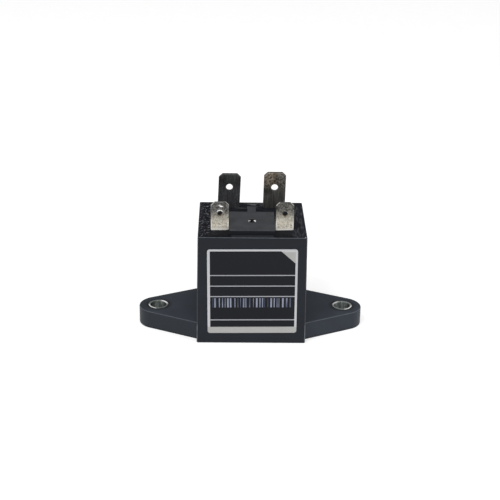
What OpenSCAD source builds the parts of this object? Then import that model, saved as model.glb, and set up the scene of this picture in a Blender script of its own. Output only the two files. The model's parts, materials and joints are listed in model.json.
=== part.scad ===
// Latching contactor: a potted, double-break plunger relay in a drafted case with two ears.
// Origin at the centre of the mounting face, +Z up, -Y is the label side. Millimetres.

/* [Case] */
// Width of the case body at its base
body_w = 29.8; // [28:0.1:36]
// Depth of the case body at its base
body_d = 27.4; // [26:0.1:34]
// Height of the case from the mounting face to the rim
case_h = 31.1; // [30:0.1:38]
// Draft of the case walls in degrees
draft = 0.6; // [0.1:0.1:1]
// Thickness of the case walls
wall = 1.5; // [1:0.1:1.8]
// Thickness of the case floor
floor_t = 1.6; // [1:0.1:2.4]
// Radius of the upright corners
corner_r = 0.4; // [0.3:0.1:1.4]
// Rounding of the edge round the mounting face
base_edge_r = 0.3; // [0.2:0.05:0.8]
// Rounding of the rim
rim_edge_r = 0.2; // [0.1:0.05:0.4]

/* [Mounting ears] */
// Distance between the two fixing holes
hole_spacing = 52; // [48:0.5:62]
// Thickness of the ears
ear_t = 5.1; // [3:0.1:8]
// Width of the ears where they meet the case body
ear_root_w = 22.8; // [16:0.2:24]
// Radius of the rounded end of each ear
ear_end_r = 5.35; // [4.4:0.05:6.5]
// Rounding of the ear edges
ear_edge_r = 0.25; // [0.1:0.05:0.6]
// Outer diameter of the steel sleeves
sleeve_od = 5.5; // [5.2:0.1:7]
// Bore of the steel sleeves, clear for an M4 screw
sleeve_id = 4.5; // [4.2:0.1:4.6]
// How far the sleeves stand above the ears
sleeve_proud = 0.1; // [0.05:0.05:0.4]
// Chamfer at the mouths of the sleeves
sleeve_chamfer = 0.15; // [0.05:0.05:0.2]

/* [Label] */
// Width of the label
label_w = 24.2; // [16:0.2:26]
// Height of the label
label_h = 24.6; // [14:0.2:27]
// Height of the label's centre above the mounting face
label_z = 15.5; // [14.6:0.1:16]
// Sideways offset of the label, which was stuck on by hand
label_x = 0.15; // [-0.4:0.05:0.4]
// Turn of the label, anticlockwise seen from the front, in degrees
label_turn = 0.55; // [-1:0.05:1]
// Corner radius of the label
label_r = 0.7; // [0.3:0.1:2]
// Thickness of the label
label_t = 0.12; // [0.05:0.01:0.3]

/* [Resin and lid] */
// Depth of the resin surface below the rim
resin_drop = 0.5; // [0.2:0.1:0.8]
// Thickness of the resin over the lid
resin_cover = 1.2; // [0.6:0.1:2]
// Resin between the inner housing and the side walls
resin_side = 0.7; // [0.4:0.1:1]
// Resin between the inner housing and the front and rear walls
resin_front = 0.48; // [0.2:0.02:0.6]
// Thickness of the lid
lid_t = 1.2; // [0.8:0.1:1.6]
// Rise of the lid's raised T above the resin
boss_rise = 1.6; // [0.6:0.1:2.5]
// Gap between the raised T and the coil tabs
boss_gap = 0.18; // [0.1:0.02:1]
// Distance of the T from the front of the lid
boss_setback = 0.5; // [0.2:0.1:1]
// Length of the wide part of the T
boss_len = 14; // [12:0.1:14.4]
// Width of the T's neck, the barrier between the load tabs
neck_w = 2.4; // [1.6:0.1:4]
// Length of the neck
neck_len = 4.2; // [2:0.1:5]
// Chamfer round the top of the T
boss_chamfer = 0.15; // [0.05:0.05:0.4]
// Distance of the fill hole from the front of the lid
vent_setback = 7.4; // [5:0.1:10]
// Diameter of the fill hole
vent_d = 1.1; // [0.6:0.1:1.6]
// Diameter of the countersink round the fill hole
vent_sink_d = 2.3; // [1.8:0.1:3]
// Depth to which the fill hole is open
vent_depth = 2.2; // [1.5:0.1:3]

/* [Coil tabs] */
// Thickness of every tab's metal
tab_t = 0.8; // [0.5:0.05:1]
// Width of the coil tabs
coil_tab_w = 4.8; // [2.8:0.1:5.2]
// Distance from a coil tab's outer edge to the side of the lid
coil_tab_inset = 1.24; // [1:0.02:2]
// Distance from the coil tabs' middle plane to the front of the lid
coil_tab_setback = 4.8; // [4.4:0.1:5]
// Height of the coil tabs above the resin
coil_tab_rise = 8.1; // [6:0.1:12]
// Diameter of the hole in each coil tab
coil_hole_d = 1.4; // [1:0.1:1.8]
// Distance from a coil tab's tip to its hole
coil_hole_drop = 3.3; // [2.4:0.1:4]
// Chamfer at the corners of a coil tab's tip
coil_tip_cut = 1; // [0.4:0.1:1.3]
// Turn of the left coil tab about its own upright axis, in degrees
coil_tab_turn = 6; // [0:0.5:10]
// Width of the pins below the coil tabs
pin_w = 1; // [0.6:0.1:1.4]
// Length of the pins below the bobbin's flange
pin_stub = 1.5; // [1:0.1:2.5]

/* [Load tabs] */
// Width of the load tabs
load_tab_w = 6.2; // [5:0.1:6.6]
// Distance between the middles of the two load tabs
load_tab_spacing = 12.8; // [11.6:0.1:14]
// Distance from the load tabs' middle plane to the rear of the lid
load_tab_inset = 1; // [0.8:0.05:1.6]
// Height of the left load tab above the resin
load_rise_left = 10.2; // [8:0.1:14]
// Height of the right load tab above the resin
load_rise_right = 10.7; // [8:0.1:14]
// Lean of the left load tab towards +X, in degrees
load_lean_left = 2; // [-3:0.1:3]
// Lean of the right load tab towards +X, in degrees
load_lean_right = 1.1; // [-3:0.1:3]
// Diameter of the hole in each load tab
load_hole_d = 1.9; // [1.2:0.1:2.2]
// Height of the holes in the load tabs above the resin
load_hole_z = 6.2; // [4:0.1:6.6]
// Chamfer at the corners of a load tab's tip
load_tip_cut = 1.05; // [0.4:0.05:1.5]
// Bevel across the thickness of every tab's tip
tip_bevel = 0.2; // [0.05:0.05:0.3]
// Width of the leg that a load tab has under the lid
leg_w = 5; // [4.4:0.1:5.4]
// Inner radius of the bend in a load tab
bend_r = 0.4; // [0.2:0.1:0.8]

/* [Contacts] */
// Diameter of the contact buttons
contact_d = 4; // [3:0.1:4.6]
// Height of a fixed contact below its leg
fixed_contact_h = 1; // [0.6:0.1:1.4]
// Height of a moving contact above the bridge
moving_contact_h = 0.9; // [0.6:0.1:1.4]
// Diameter of the rivet shank of a contact
shank_d = 2; // [1.4:0.1:2.4]
// Travel of the plunger from open to closed
plunger_travel = 2.5; // [2:0.1:2.8]
// Overtravel of the rod after the contacts touch
overtravel = 0.5; // [0.2:0.05:0.8]
// Width of the contact bridge
bridge_w = 4.8; // [4.4:0.1:5.6]
// Thickness of the contact bridge
bridge_t = 1.2; // [0.8:0.1:1.6]

/* [Rod and springs] */
// Diameter of the push rod
rod_d = 2; // [1.6:0.1:2.4]
// Diameter of the spring seat on the rod
seat_d = 5.4; // [5:0.1:7]
// Thickness of the spring seat
seat_t = 0.6; // [0.4:0.1:1]
// Diameter of the clip that holds the bridge on the rod
clip_d = 4.4; // [3.8:0.1:5]
// Thickness of that clip
clip_t = 0.5; // [0.3:0.05:0.7]
// Length of the contact spring with the contacts open
contact_spring_len = 3.4; // [3.2:0.1:4.4]
// Wire diameter of the contact spring
contact_wire_d = 0.5; // [0.3:0.05:0.6]
// Mean diameter of the contact spring
contact_spring_d = 3.8; // [3.4:0.1:4.2]
// Wire diameter of the return spring
return_wire_d = 0.45; // [0.3:0.05:0.5]
// Mean diameter of the return spring
return_spring_d = 3.8; // [3.4:0.1:4]

/* [Magnet system] */
// Thickness of the yoke's steel
yoke_t = 1.5; // [1:0.1:1.8]
// Inner bend radius of the yoke
yoke_bend_r = 0.25; // [0.2:0.05:0.6]
// Width of the tenons that hold the yoke plate
tenon_w = 6; // [4:0.2:8]
// Diameter of the plunger
plunger_d = 7.4; // [7:0.1:8]
// Thickness of the washer that the plunger rests on
stop_t = 0.5; // [0.3:0.1:1]
// Plunger's share of the iron from the washer to the yoke plate, the rest being the core
plunger_share = 0.58; // [0.5:0.01:0.62]
// Diameter of the core's riveted spigot
spigot_d = 5; // [4:0.1:6]
// Depth of the spring pocket in the core, as a share of the core
core_pocket_share = 0.39; // [0.25:0.01:0.5]
// Depth of the spring pocket in the plunger, as a share of the plunger
plunger_pocket_share = 0.52; // [0.4:0.01:0.6]
// Diameter of both spring pockets
pocket_d = 5; // [4.8:0.1:5.4]
// Wall of the guide tube
tube_t = 0.3; // [0.2:0.05:0.5]
// Thickness of the latch magnets, from the pole plate to the yoke
latch_magnet_t = 2.6; // [1.6:0.1:3]
// Thickness of the pole plate
pole_t = 2; // [1.4:0.1:2.4]
// Thickness of the magnet carrier's floor
carrier_t = 0.8; // [0.6:0.1:1.2]
// Width of the rails of the magnet carrier
rail_w = 1.4; // [0.8:0.1:2]
// Thickness of the blow-out magnets
blow_magnet_t = 1.8; // [1.2:0.1:2]
// Height of the blow-out magnets
blow_magnet_h = 8; // [6:0.1:8.6]

/* [Bobbin and coil] */
// Thickness of the bobbin's flanges
flange_t = 0.9; // [0.6:0.1:1.2]
// Wall of the bobbin's barrel
barrel_t = 0.7; // [0.5:0.1:1]
// Bobbin flange beyond the coil pins
flange_margin = 2.6; // [1.6:0.1:3]
// Inset of the winding from the nearer edges of the flanges
winding_inset = 0.5; // [0.2:0.1:0.8]
// Pitch of the outer turns of the winding
turn_pitch = 0.62; // [0.4:0.02:1]
// Diameter of the wire that leads to each pin
lead_d = 0.24; // [0.16:0.02:0.36]

/* [Inner housing] */
// Walls of the inner housing
housing_wall = 0.8; // [0.6:0.1:1]
// Thickness of the floor between the coil and the contacts
mid_floor_t = 1; // [0.8:0.1:1.4]
// Depth of the cored pockets outside the blow-out magnets
core_depth = 2.55; // [2:0.05:2.8]

/* [Fits] */
// Sliding clearance round the plunger and the rod
slide_gap = 0.1; // [0.06:0.01:0.1]
// Assembly clearance between fixed pieces
fit_gap = 0.05; // [0.02:0.01:0.1]
// Clearance left where moving pieces stop against fixed ones
stop_gap = 0.1; // [0.02:0.02:0.2]

/* [Hidden] */

$fn = 64;
// Steps of the case's upright corners, in degrees, and steps round the end of an ear
corner_step = 15;
ear_steps = 24;
// Overlap that lets a cut run clear through a face
over = 1;
// Steps of a rounded edge, in degrees
edge_step = 30;
taper = tan(draft);
// Sides of a round wire, steps of a spring's turn, and of a lead's turn round its pin
wire_sides = 6;
spring_steps = 16;
wrap_steps = 12;
// Turns of the two springs and wraps of a lead
contact_turns = 4;
return_turns = 5;
lead_wraps = 2.5;
// Pitch of the wraps in wire diameters
lead_pitch = 1.3;
// Pitch of a spring's closed end turns in wire diameters
closed_pitch = 1.1;
// Flat share of a turn of the winding, and depth of its groove, as shares of the pitch
turn_flat = 0.4;
turn_groove = 0.25;
// Play of a spring between its seats, at each end
spring_gap = 0.02;
// Thickness of the glue under the label and the magnets
glue_t = 0.01;
// Room under the spring seat
seat_clear = 0.6;
// Gap between the yoke and the coil pins
pin_gap = 0.2;
// Smallest radius of an inner corner
least_r = 0.25;
// Chamfers of the contacts, the rod and the plunger
contact_chamfer = 0.3;
rod_chamfer = 0.2;
plunger_chamfer = 0.3;
// Depth of the clip's groove, rod above the clip, and rod's recess in the plunger
groove_t = 0.25;
rod_tip = 0.6;
rod_recess = 0.3;
// Width of the clip's mouth as a share of its bore
clip_mouth = 0.9;
// Leg of a load tab beyond its contact
leg_end = 0.2;
// Corner radius of the bobbin's flanges
flange_r = 1;

// Heights, from the rim down to the yoke plate
z_resin = case_h - resin_drop;
z_boss = z_resin + boss_rise;
z_lid_top = z_resin - resin_cover;
z_lid = z_lid_top - lid_t;
z_leg = z_lid - bend_r - tab_t;
z_fixed = z_leg - fixed_contact_h;
bridge_lift = plunger_travel - overtravel;
z_moving = z_fixed - bridge_lift;
z_bridge_top = z_moving - moving_contact_h;
z_bridge = z_bridge_top - bridge_t;
z_seat_top = z_bridge - contact_spring_len;
z_seat = z_seat_top - seat_t;
z_mid_top = z_seat - seat_clear;
z_mid = z_mid_top - mid_floor_t;
z_plate = z_mid - yoke_t;

// Heights, from the case floor up to the bobbin
z_yoke = floor_t + yoke_t;
z_rest = z_yoke + stop_t;
z_pole = z_yoke + carrier_t;
z_bobbin = z_pole + pole_t;
z_winding = z_bobbin + flange_t;
z_winding_top = z_plate - flange_t;
iron_len = z_plate - z_rest - plunger_travel - stop_gap;
plunger_len = plunger_share * iron_len;
core_len = iron_len - plunger_len;
z_core = z_plate - core_len;
z_plunger_top = z_rest + plunger_len;
z_plunger_pocket = z_plunger_top - plunger_pocket_share * plunger_len;
z_core_pocket = z_core + core_pocket_share * core_len;

// Half sizes of the inner housing, which the resin holds in the case
housing_hw = body_w / 2 - taper * z_resin - wall - resin_side;
housing_hd = body_d / 2 - taper * z_resin - wall - resin_front;
inner_hw = housing_hw - housing_wall;
inner_hd = housing_hd - housing_wall;
chamber_hd = inner_hd - core_depth - 2 * housing_wall - fit_gap - blow_magnet_t;

// Tabs
coil_tab_x = housing_hw - coil_tab_inset - coil_tab_w / 2;
coil_tab_y = coil_tab_setback - housing_hd;
load_tab_x = load_tab_spacing / 2;
load_tab_y = housing_hd - load_tab_inset;
boss_hw = coil_tab_x - coil_tab_w / 2 - boss_gap;

// Magnet system
yoke_hw = inner_hw - fit_gap;
yoke_in = yoke_hw - yoke_t;
yoke_hd = -coil_tab_y - tab_t / 2 - pin_gap;
pole_hw = yoke_in - latch_magnet_t;
tube_r = plunger_d / 2 + slide_gap;
tube_or = tube_r + tube_t;
barrel_r = tube_or + fit_gap + barrel_t;
flange_hw = yoke_in - fit_gap;
flange_hd = -coil_tab_y + tab_t / 2 + flange_margin;
winding_r = min(flange_hw, flange_hd) - winding_inset;
blow_hw = coil_tab_x - coil_tab_w / 2 - 2 * fit_gap - housing_wall;
blow_y = chamber_hd + housing_wall;
z_pin = z_winding_top - pin_stub;

// Flat outline with true corner arcs, centred on the origin
module rounded_rect(w, d, r) {
    square([w - 2 * r, d], center = true);
    square([w, d - 2 * r], center = true);
    for (sx = [-1, 1], sy = [-1, 1])
        translate([sx * (w / 2 - r), sy * (d / 2 - r)]) circle(r = r);
}

// Block given by its lowest and highest corners
module block(low, high) {
    translate(low) cube(high - low);
}

// Closed skin through a stack of rings of points, each anticlockwise seen from the next
module skin(rings) {
    n = len(rings[0]);
    last = (len(rings) - 1) * n;
    sides = [
        for (i = [0:n:last - n], j = [0:n - 1])
            let (a = i + j, b = i + (j + 1) % n)
            each [[a, a + n, b + n], [a, b + n, b]]
    ];
    ends = [[for (j = [0:n - 1]) j], [for (j = [n - 1:-1:0]) last + j]];
    polyhedron([for (ring = rings) each ring], concat(sides, ends), convexity = 10);
}

// Drafted outline of the body at a height, drawn in by an inset
function body_ring(z, inset) =
    let (
        r = max(corner_r - inset, least_r),
        x = body_w / 2 - taper * z - inset - r,
        y = body_d / 2 - taper * z - inset - r,
        corners = [[x, y], [-x, y], [-x, -y], [x, -y]]
    )
    [for (q = [0:3], a = [0:corner_step:90])
        [corners[q][0] + r * cos(90 * q + a), corners[q][1] + r * sin(90 * q + a), z]];

// Outer form of the case body with its rounded bottom edge and rim
module body_form() {
    skin([
        for (a = [90:-edge_step:0]) body_ring(base_edge_r * (1 - sin(a)), base_edge_r * (1 - cos(a))),
        for (a = [0:edge_step:90])
            body_ring(case_h - rim_edge_r * (1 - sin(a)), rim_edge_r * (1 - cos(a)))
    ]);
}

// Drafted cavity of the case from its floor up to a height
module cavity_form(z_top, inset) {
    skin([body_ring(floor_t, wall + inset), body_ring(z_top, wall + inset)]);
}

// Outline of both ears at a height, drawn in by an inset: round ends, straight flanks, wide root
function ear_ring(z, inset) =
    let (
        reach = (hole_spacing - body_w) / 2,
        root = ear_root_w / 2,
        flank = atan2(root, -reach) - acos(ear_end_r / norm([reach, root])),
        r = ear_end_r - inset,
        y = (r + reach * cos(flank)) / sin(flank),
        end = [for (i = [-ear_steps:2:ear_steps])
            [hole_spacing / 2 + r * cos(flank * i / ear_steps), r * sin(flank * i / ear_steps), z]],
        half = concat(end, [[body_w / 2, y, z], [-body_w / 2, y, z]])
    )
    concat(half, [for (p = half) [-p[0], -p[1], z]]);

// Both ears as one tapering plate with rounded edges
module ear_form() {
    skin([
        for (a = [90:-edge_step:0]) ear_ring(ear_edge_r * (1 - sin(a)), ear_edge_r * (1 - cos(a))),
        for (a = [0:edge_step:90])
            ear_ring(ear_t - ear_edge_r * (1 - sin(a)), ear_edge_r * (1 - cos(a)))
    ]);
}

module case() {
    color("#2a2d32")
        difference() {
            union() {
                body_form();
                ear_form();
            }
            cavity_form(case_h + over, 0);
            for (sx = [-1, 1])
                translate([sx * hole_spacing / 2, 0, -over])
                    cylinder(d = sleeve_od, h = ear_t + 2 * over);
        }
}

// Steel sleeve that takes the load of a fixing screw
module sleeve(side) {
    top = ear_t + sleeve_proud;
    color("silver")
        translate([side * hole_spacing / 2, 0, 0])
            rotate_extrude()
                polygon([
                    [sleeve_id / 2 + sleeve_chamfer, 0],
                    [sleeve_od / 2, 0],
                    [sleeve_od / 2, top],
                    [sleeve_id / 2 + sleeve_chamfer, top],
                    [sleeve_id / 2, top - sleeve_chamfer],
                    [sleeve_id / 2, sleeve_chamfer]
                ]);
}

// Label stuck on the drafted front wall
module label() {
    color("gainsboro")
        translate([label_x, -body_d / 2 - glue_t, 0])
            rotate([-draft, 0, 0])
                translate([0, 0, label_z])
                    rotate([0, -label_turn, 0])
                        rotate([90, 0, 0])
                            linear_extrude(label_t) rounded_rect(label_w, label_h, label_r);
}

// Straight stretch of a tab between two heights, as the lid and the resin see it
module tab_shaft(x, y, w, low, high, gap) {
    block([x - w / 2 - gap, y - tab_t / 2 - gap, low], [x + w / 2 + gap, y + tab_t / 2 + gap, high]);
}

// All four tabs as cuts
module tab_cuts(low, high, gap) {
    for (side = [-1, 1]) {
        tab_shaft(side * coil_tab_x, coil_tab_y, coil_tab_w, low, high, gap);
        tab_shaft(side * load_tab_x, load_tab_y, load_tab_w, low, high, gap);
    }
}

// Raised T of the lid: a wide block between the coil tabs and a neck between the load tabs
module lid_boss() {
    front = boss_setback - housing_hd;
    boss_block([-boss_hw, front], [boss_hw, front + boss_len]);
    boss_block(
        [-neck_w / 2, front + boss_len - 2 * boss_chamfer],
        [neck_w / 2, front + boss_len + neck_len]
    );
}

// Block from the lid up to the top of the T, with chamfered top edges
module boss_block(low, high) {
    c = boss_chamfer;
    intersection() {
        translate([0, high[1], 0])
            rotate([90, 0, 0])
                linear_extrude(high[1] - low[1])
                    polygon([
                        [low[0], z_lid], [high[0], z_lid], [high[0], z_boss - c],
                        [high[0] - c, z_boss], [low[0] + c, z_boss], [low[0], z_boss - c]
                    ]);
        translate([low[0], 0, 0])
            rotate([90, 0, 90])
                linear_extrude(high[0] - low[0])
                    polygon([
                        [low[1], z_lid], [high[1], z_lid], [high[1], z_boss - c],
                        [high[1] - c, z_boss], [low[1] + c, z_boss], [low[1], z_boss - c]
                    ]);
    }
}

// Black epoxy between the case and the inner housing and over the lid
module potting_resin() {
    color("#15171a")
        difference() {
            cavity_form(z_resin, fit_gap);
            block([-housing_hw, -housing_hd, 0], [housing_hw, housing_hd, z_lid_top]);
            lid_boss();
            tab_cuts(z_lid, z_resin + over, 0);
        }
}

// Lid of the inner housing with its raised T and the sealed fill hole
module lid() {
    key_hw = load_tab_x - leg_w / 2 - 4 * fit_gap;
    sink = (vent_sink_d - vent_d) / 2;
    color("#3b3e42")
        difference() {
            union() {
                block([-housing_hw, -housing_hd, z_lid], [housing_hw, housing_hd, z_lid_top]);
                lid_boss();
                block([-key_hw, -chamber_hd + fit_gap, z_leg], [key_hw, chamber_hd - fit_gap, z_lid]);
            }
            tab_cuts(z_lid - over, z_lid_top + over, fit_gap);
            translate([0, vent_setback - housing_hd, z_boss - vent_depth]) {
                cylinder(d = vent_d, h = vent_depth + over);
                translate([0, 0, vent_depth - sink]) cylinder(d1 = vent_d, d2 = vent_sink_d, h = sink);
            }
        }
}

// Moulded inner housing: coil space below, arc chamber and pockets above
module inner_housing() {
    top = z_lid + over;
    shaft_gap = 2 * fit_gap;
    core_y = blow_y + blow_magnet_t + fit_gap + housing_wall;
    color("#4a4640")
        difference() {
            block([-housing_hw, -housing_hd, floor_t], [housing_hw, housing_hd, z_lid]);
            block([-inner_hw, -inner_hd, 0], [inner_hw, inner_hd, z_mid]);
            block([-inner_hw, -chamber_hd, z_mid_top], [inner_hw, chamber_hd, top]);
            translate([0, 0, z_mid - over])
                cylinder(r = rod_d / 2 + 3 * slide_gap, h = mid_floor_t + 2 * over);
            for (side = [-1, 1]) {
                tab_shaft(side * coil_tab_x, coil_tab_y, coil_tab_w, z_mid_top, top, shaft_gap);
                tab_shaft(side * coil_tab_x, coil_tab_y, pin_w, z_mid - over, top, shaft_gap);
                block(
                    [side * load_tab_x - load_tab_w / 2 - shaft_gap, 0, z_leg],
                    [side * load_tab_x + load_tab_w / 2 + shaft_gap, load_tab_y + tab_t / 2 + shaft_gap, top]
                );
            }
            for (face = [0, 1])
                mirror([0, face, 0]) {
                    block(
                        [-blow_hw - fit_gap, blow_y, z_mid_top],
                        [blow_hw + fit_gap, blow_y + blow_magnet_t + fit_gap, top]
                    );
                    for (side = [0, 1])
                        mirror([side, 0, 0])
                            block([housing_wall / 2, core_y, z_mid_top], [inner_hw, inner_hd, top]);
                }
        }
}

// Flat blade of a tab above the resin, leaning towards +X, with the hole and tip of a standard tab
module blade(w, rise, hole_d, hole_z, cut, lean) {
    k = tan(lean);
    difference() {
        intersection() {
            rotate([90, 0, 0])
                linear_extrude(tab_t, center = true)
                    polygon([
                        [-w / 2, 0],
                        [w / 2, 0],
                        [w / 2 + k * (rise - cut), rise - cut],
                        [w / 2 - cut + k * rise, rise],
                        [-w / 2 + cut + k * rise, rise],
                        [-w / 2 + k * (rise - cut), rise - cut]
                    ]);
            rotate([90, 0, 90])
                linear_extrude(3 * w, center = true)
                    polygon([
                        [-tab_t / 2, 0],
                        [tab_t / 2, 0],
                        [tab_t / 2, rise - 2 * tip_bevel],
                        [tab_t / 2 - tip_bevel, rise],
                        [-tab_t / 2 + tip_bevel, rise],
                        [-tab_t / 2, rise - 2 * tip_bevel]
                    ]);
        }
        translate([k * hole_z, 0, hole_z])
            rotate([90, 0, 0]) cylinder(d = hole_d, h = 2 * tab_t, center = true);
    }
}

// Coil tab: blade, shaft through the lid and the housing, and the pin that the coil is wound to
module coil_tab(side, turn) {
    hole_z = coil_tab_rise - coil_hole_drop;
    color("#c9c3b6") {
        translate([side * coil_tab_x, coil_tab_y, z_resin])
            rotate([0, 0, turn])
                blade(coil_tab_w, coil_tab_rise, coil_hole_d, hole_z, coil_tip_cut, 0);
        tab_shaft(side * coil_tab_x, coil_tab_y, coil_tab_w, z_mid_top, z_resin, 0);
        tab_shaft(side * coil_tab_x, coil_tab_y, pin_w, z_pin, z_mid_top, 0);
    }
}

// Side view of a load tab's leg, bend and upright stretch: y to the right, z up
module leg_profile() {
    outer_r = bend_r + tab_t;
    front = load_tab_y - tab_t / 2;
    centre = [front - bend_r, z_leg + outer_r];
    leg_tip = -contact_d / 2 - leg_end;
    difference() {
        union() {
            translate([leg_tip, z_leg]) square([front + tab_t - leg_tip, tab_t]);
            translate([front, z_leg]) square([tab_t, z_resin - z_leg]);
            difference() {
                translate([centre[0], z_leg]) square([outer_r, outer_r]);
                translate(centre) circle(r = bend_r);
            }
        }
        difference() {
            translate([centre[0], z_leg - over]) square([outer_r + over, outer_r + over]);
            translate(centre) circle(r = outer_r);
        }
    }
}

// Load tab: blade, shaft, and a leg bent forward over the moving contact
module load_tab(side, rise, lean) {
    color("#b9b2a6")
        difference() {
            union() {
                translate([side * load_tab_x, load_tab_y, z_resin])
                    blade(load_tab_w, rise, load_hole_d, load_hole_z, load_tip_cut, lean);
                tab_shaft(side * load_tab_x, load_tab_y, load_tab_w, z_lid, z_resin, 0);
                translate([side * load_tab_x - leg_w / 2, 0, 0])
                    rotate([90, 0, 90]) linear_extrude(leg_w) leg_profile();
            }
            translate([side * load_tab_x, 0, z_leg - over]) cylinder(d = shank_d, h = tab_t + 2 * over);
        }
}

// Contact rivet standing on z = 0, button down, shank up
module rivet(button_h, shank_h) {
    c = contact_chamfer;
    rotate_extrude()
        polygon([
            [0, -button_h],
            [contact_d / 2 - c, -button_h],
            [contact_d / 2, c - button_h],
            [contact_d / 2, 0],
            [shank_d / 2 - fit_gap, 0],
            [shank_d / 2 - fit_gap, shank_h],
            [0, shank_h]
        ]);
}

module fixed_contact(side) {
    color("whitesmoke") translate([side * load_tab_x, 0, z_leg]) rivet(fixed_contact_h, tab_t);
}

module moving_contact(side) {
    color("whitesmoke")
        translate([side * load_tab_x, 0, z_bridge_top]) mirror([0, 0, 1]) rivet(moving_contact_h, bridge_t);
}

// Copper bar that joins the two fixed contacts when the plunger rises
module contact_bridge() {
    color("#b87333")
        translate([0, 0, z_bridge])
            difference() {
                linear_extrude(bridge_t) {
                    square([2 * load_tab_x, bridge_w], center = true);
                    for (side = [-1, 1]) translate([side * load_tab_x, 0]) circle(d = bridge_w);
                }
                translate([0, 0, -over]) cylinder(r = rod_d / 2 + slide_gap, h = bridge_t + 2 * over);
                for (side = [-1, 1])
                    translate([side * load_tab_x, 0, -over]) cylinder(d = shank_d, h = bridge_t + 2 * over);
            }
}

// Clip in the rod's groove, open to the front, on top of the bridge
module bridge_clip() {
    groove_r = rod_d / 2 - groove_t + fit_gap;
    mouth = clip_mouth * groove_r;
    color("dimgray")
        translate([0, 0, z_bridge_top])
            difference() {
                cylinder(d = clip_d, h = clip_t);
                translate([0, 0, -over]) cylinder(r = groove_r, h = clip_t + 2 * over);
                block([-mouth, -clip_d, -over], [mouth, 0, clip_t + over]);
            }
}

// Turned rod with the contact spring's seat and the clip's groove
module push_rod() {
    r = rod_d / 2;
    c = rod_chamfer;
    z_tip = z_bridge_top + clip_t + rod_tip;
    color("lightsteelblue")
        rotate_extrude()
            polygon([
                [0, z_rest + rod_recess],
                [r - c, z_rest + rod_recess],
                [r, z_rest + rod_recess + c],
                [r, z_seat],
                [seat_d / 2, z_seat],
                [seat_d / 2, z_seat_top],
                [r, z_seat_top],
                [r, z_bridge_top],
                [r - groove_t, z_bridge_top],
                [r - groove_t, z_bridge_top + clip_t],
                [r, z_bridge_top + clip_t],
                [r, z_tip - c],
                [r - c, z_tip],
                [0, z_tip]
            ]);
}

module plunger() {
    r = plunger_d / 2;
    c = plunger_chamfer;
    bore = rod_d / 2 + fit_gap;
    color("slategray")
        rotate_extrude()
            polygon([
                [bore, z_rest],
                [r - c, z_rest],
                [r, z_rest + c],
                [r, z_plunger_top - c],
                [r - c, z_plunger_top],
                [pocket_d / 2, z_plunger_top],
                [pocket_d / 2, z_plunger_pocket],
                [bore, z_plunger_pocket]
            ]);
}

// Core riveted into the yoke plate, with the upper pocket of the return spring
module fixed_core() {
    bore = rod_d / 2 + slide_gap;
    color("slategray")
        rotate_extrude()
            polygon([
                [bore, z_core_pocket],
                [pocket_d / 2, z_core_pocket],
                [pocket_d / 2, z_core],
                [plunger_d / 2, z_core],
                [plunger_d / 2, z_plate],
                [spigot_d / 2, z_plate],
                [spigot_d / 2, z_mid],
                [bore, z_mid]
            ]);
}

// Point of a spring's centre line after a number of turns, with closed end turns
function spring_point(n, d, wire, len, turns) =
    let (
        end_pitch = closed_pitch * wire,
        pitch = (len - wire - 2 * end_pitch) / (turns - 2),
        rise = n < 1 ? n * end_pitch
            : n > turns - 1 ? len - wire - (turns - n) * end_pitch
            : end_pitch + (n - 1) * pitch
    )
    [d / 2 * cos(360 * n), d / 2 * sin(360 * n), wire / 2 + rise];

// Ring of points round p, across the direction t, anticlockwise seen along it
function wire_ring(p, t, r) =
    let (
        a = cross(t, [0, 0, 1]) / norm(cross(t, [0, 0, 1])),
        b = cross(a, t) / norm(t)
    )
    [for (i = [0:wire_sides - 1])
        p + r * (cos(360 * i / wire_sides) * a - sin(360 * i / wire_sides) * b)];

// Round wire along a path that nowhere runs straight up
module wire(path, d) {
    last = len(path) - 1;
    skin([
        for (i = [0:last])
            wire_ring(path[i], path[min(i + 1, last)] - path[max(i - 1, 0)], d / 2)
    ]);
}

// Helical spring standing on z = 0
module spring(d, wire_d, len, turns) {
    wire([for (i = [0:turns * spring_steps]) spring_point(i / spring_steps, d, wire_d, len, turns)], wire_d);
}

// Spring under the bridge, which presses the contacts together
module contact_spring() {
    color("gold")
        translate([0, 0, z_seat_top + spring_gap])
            spring(contact_spring_d, contact_wire_d, contact_spring_len - 2 * spring_gap, contact_turns);
}

// Spring between the core and the plunger, which opens the contacts
module return_spring() {
    color("gold")
        translate([0, 0, z_plunger_pocket + spring_gap])
            spring(
                return_spring_d, return_wire_d,
                z_core_pocket - z_plunger_pocket - 2 * spring_gap, return_turns
            );
}

// Thin tube in the bobbin in which the plunger slides
module guide_tube() {
    color("goldenrod")
        translate([0, 0, z_yoke])
            difference() {
                cylinder(r = tube_or, h = z_plate - z_yoke);
                translate([0, 0, -over]) cylinder(r = tube_r, h = z_plate - z_yoke + 2 * over);
            }
}

// Washer that the open plunger rests on
module stop_washer() {
    color("saddlebrown")
        translate([0, 0, z_yoke])
            difference() {
                cylinder(r = tube_r - fit_gap, h = stop_t);
                translate([0, 0, -over]) cylinder(r = rod_d / 2 + fit_gap, h = stop_t + 2 * over);
            }
}

// Outline of a strip bent to a U: half width, height and radius of its bends
module u_outline(hw, h, r) {
    translate([-hw, r]) square([2 * hw, h - r]);
    translate([r - hw, 0]) square([2 * (hw - r), h]);
    for (side = [-1, 1]) translate([side * (hw - r), r]) circle(r = r);
}

// U of soft iron under and beside the coil, with a tenon on each leg
module yoke_frame() {
    leg_h = z_plate - floor_t;
    color("lightgray") {
        translate([0, yoke_hd, floor_t])
            rotate([90, 0, 0])
                linear_extrude(2 * yoke_hd)
                    difference() {
                        u_outline(yoke_hw, leg_h, yoke_bend_r + yoke_t);
                        translate([0, yoke_t]) u_outline(yoke_in, leg_h, yoke_bend_r);
                    }
        for (side = [-1, 1])
            mirror([side < 0 ? 1 : 0, 0, 0])
                block([yoke_in, -tenon_w / 2, z_plate - yoke_t], [yoke_hw, tenon_w / 2, z_mid]);
    }
}

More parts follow.
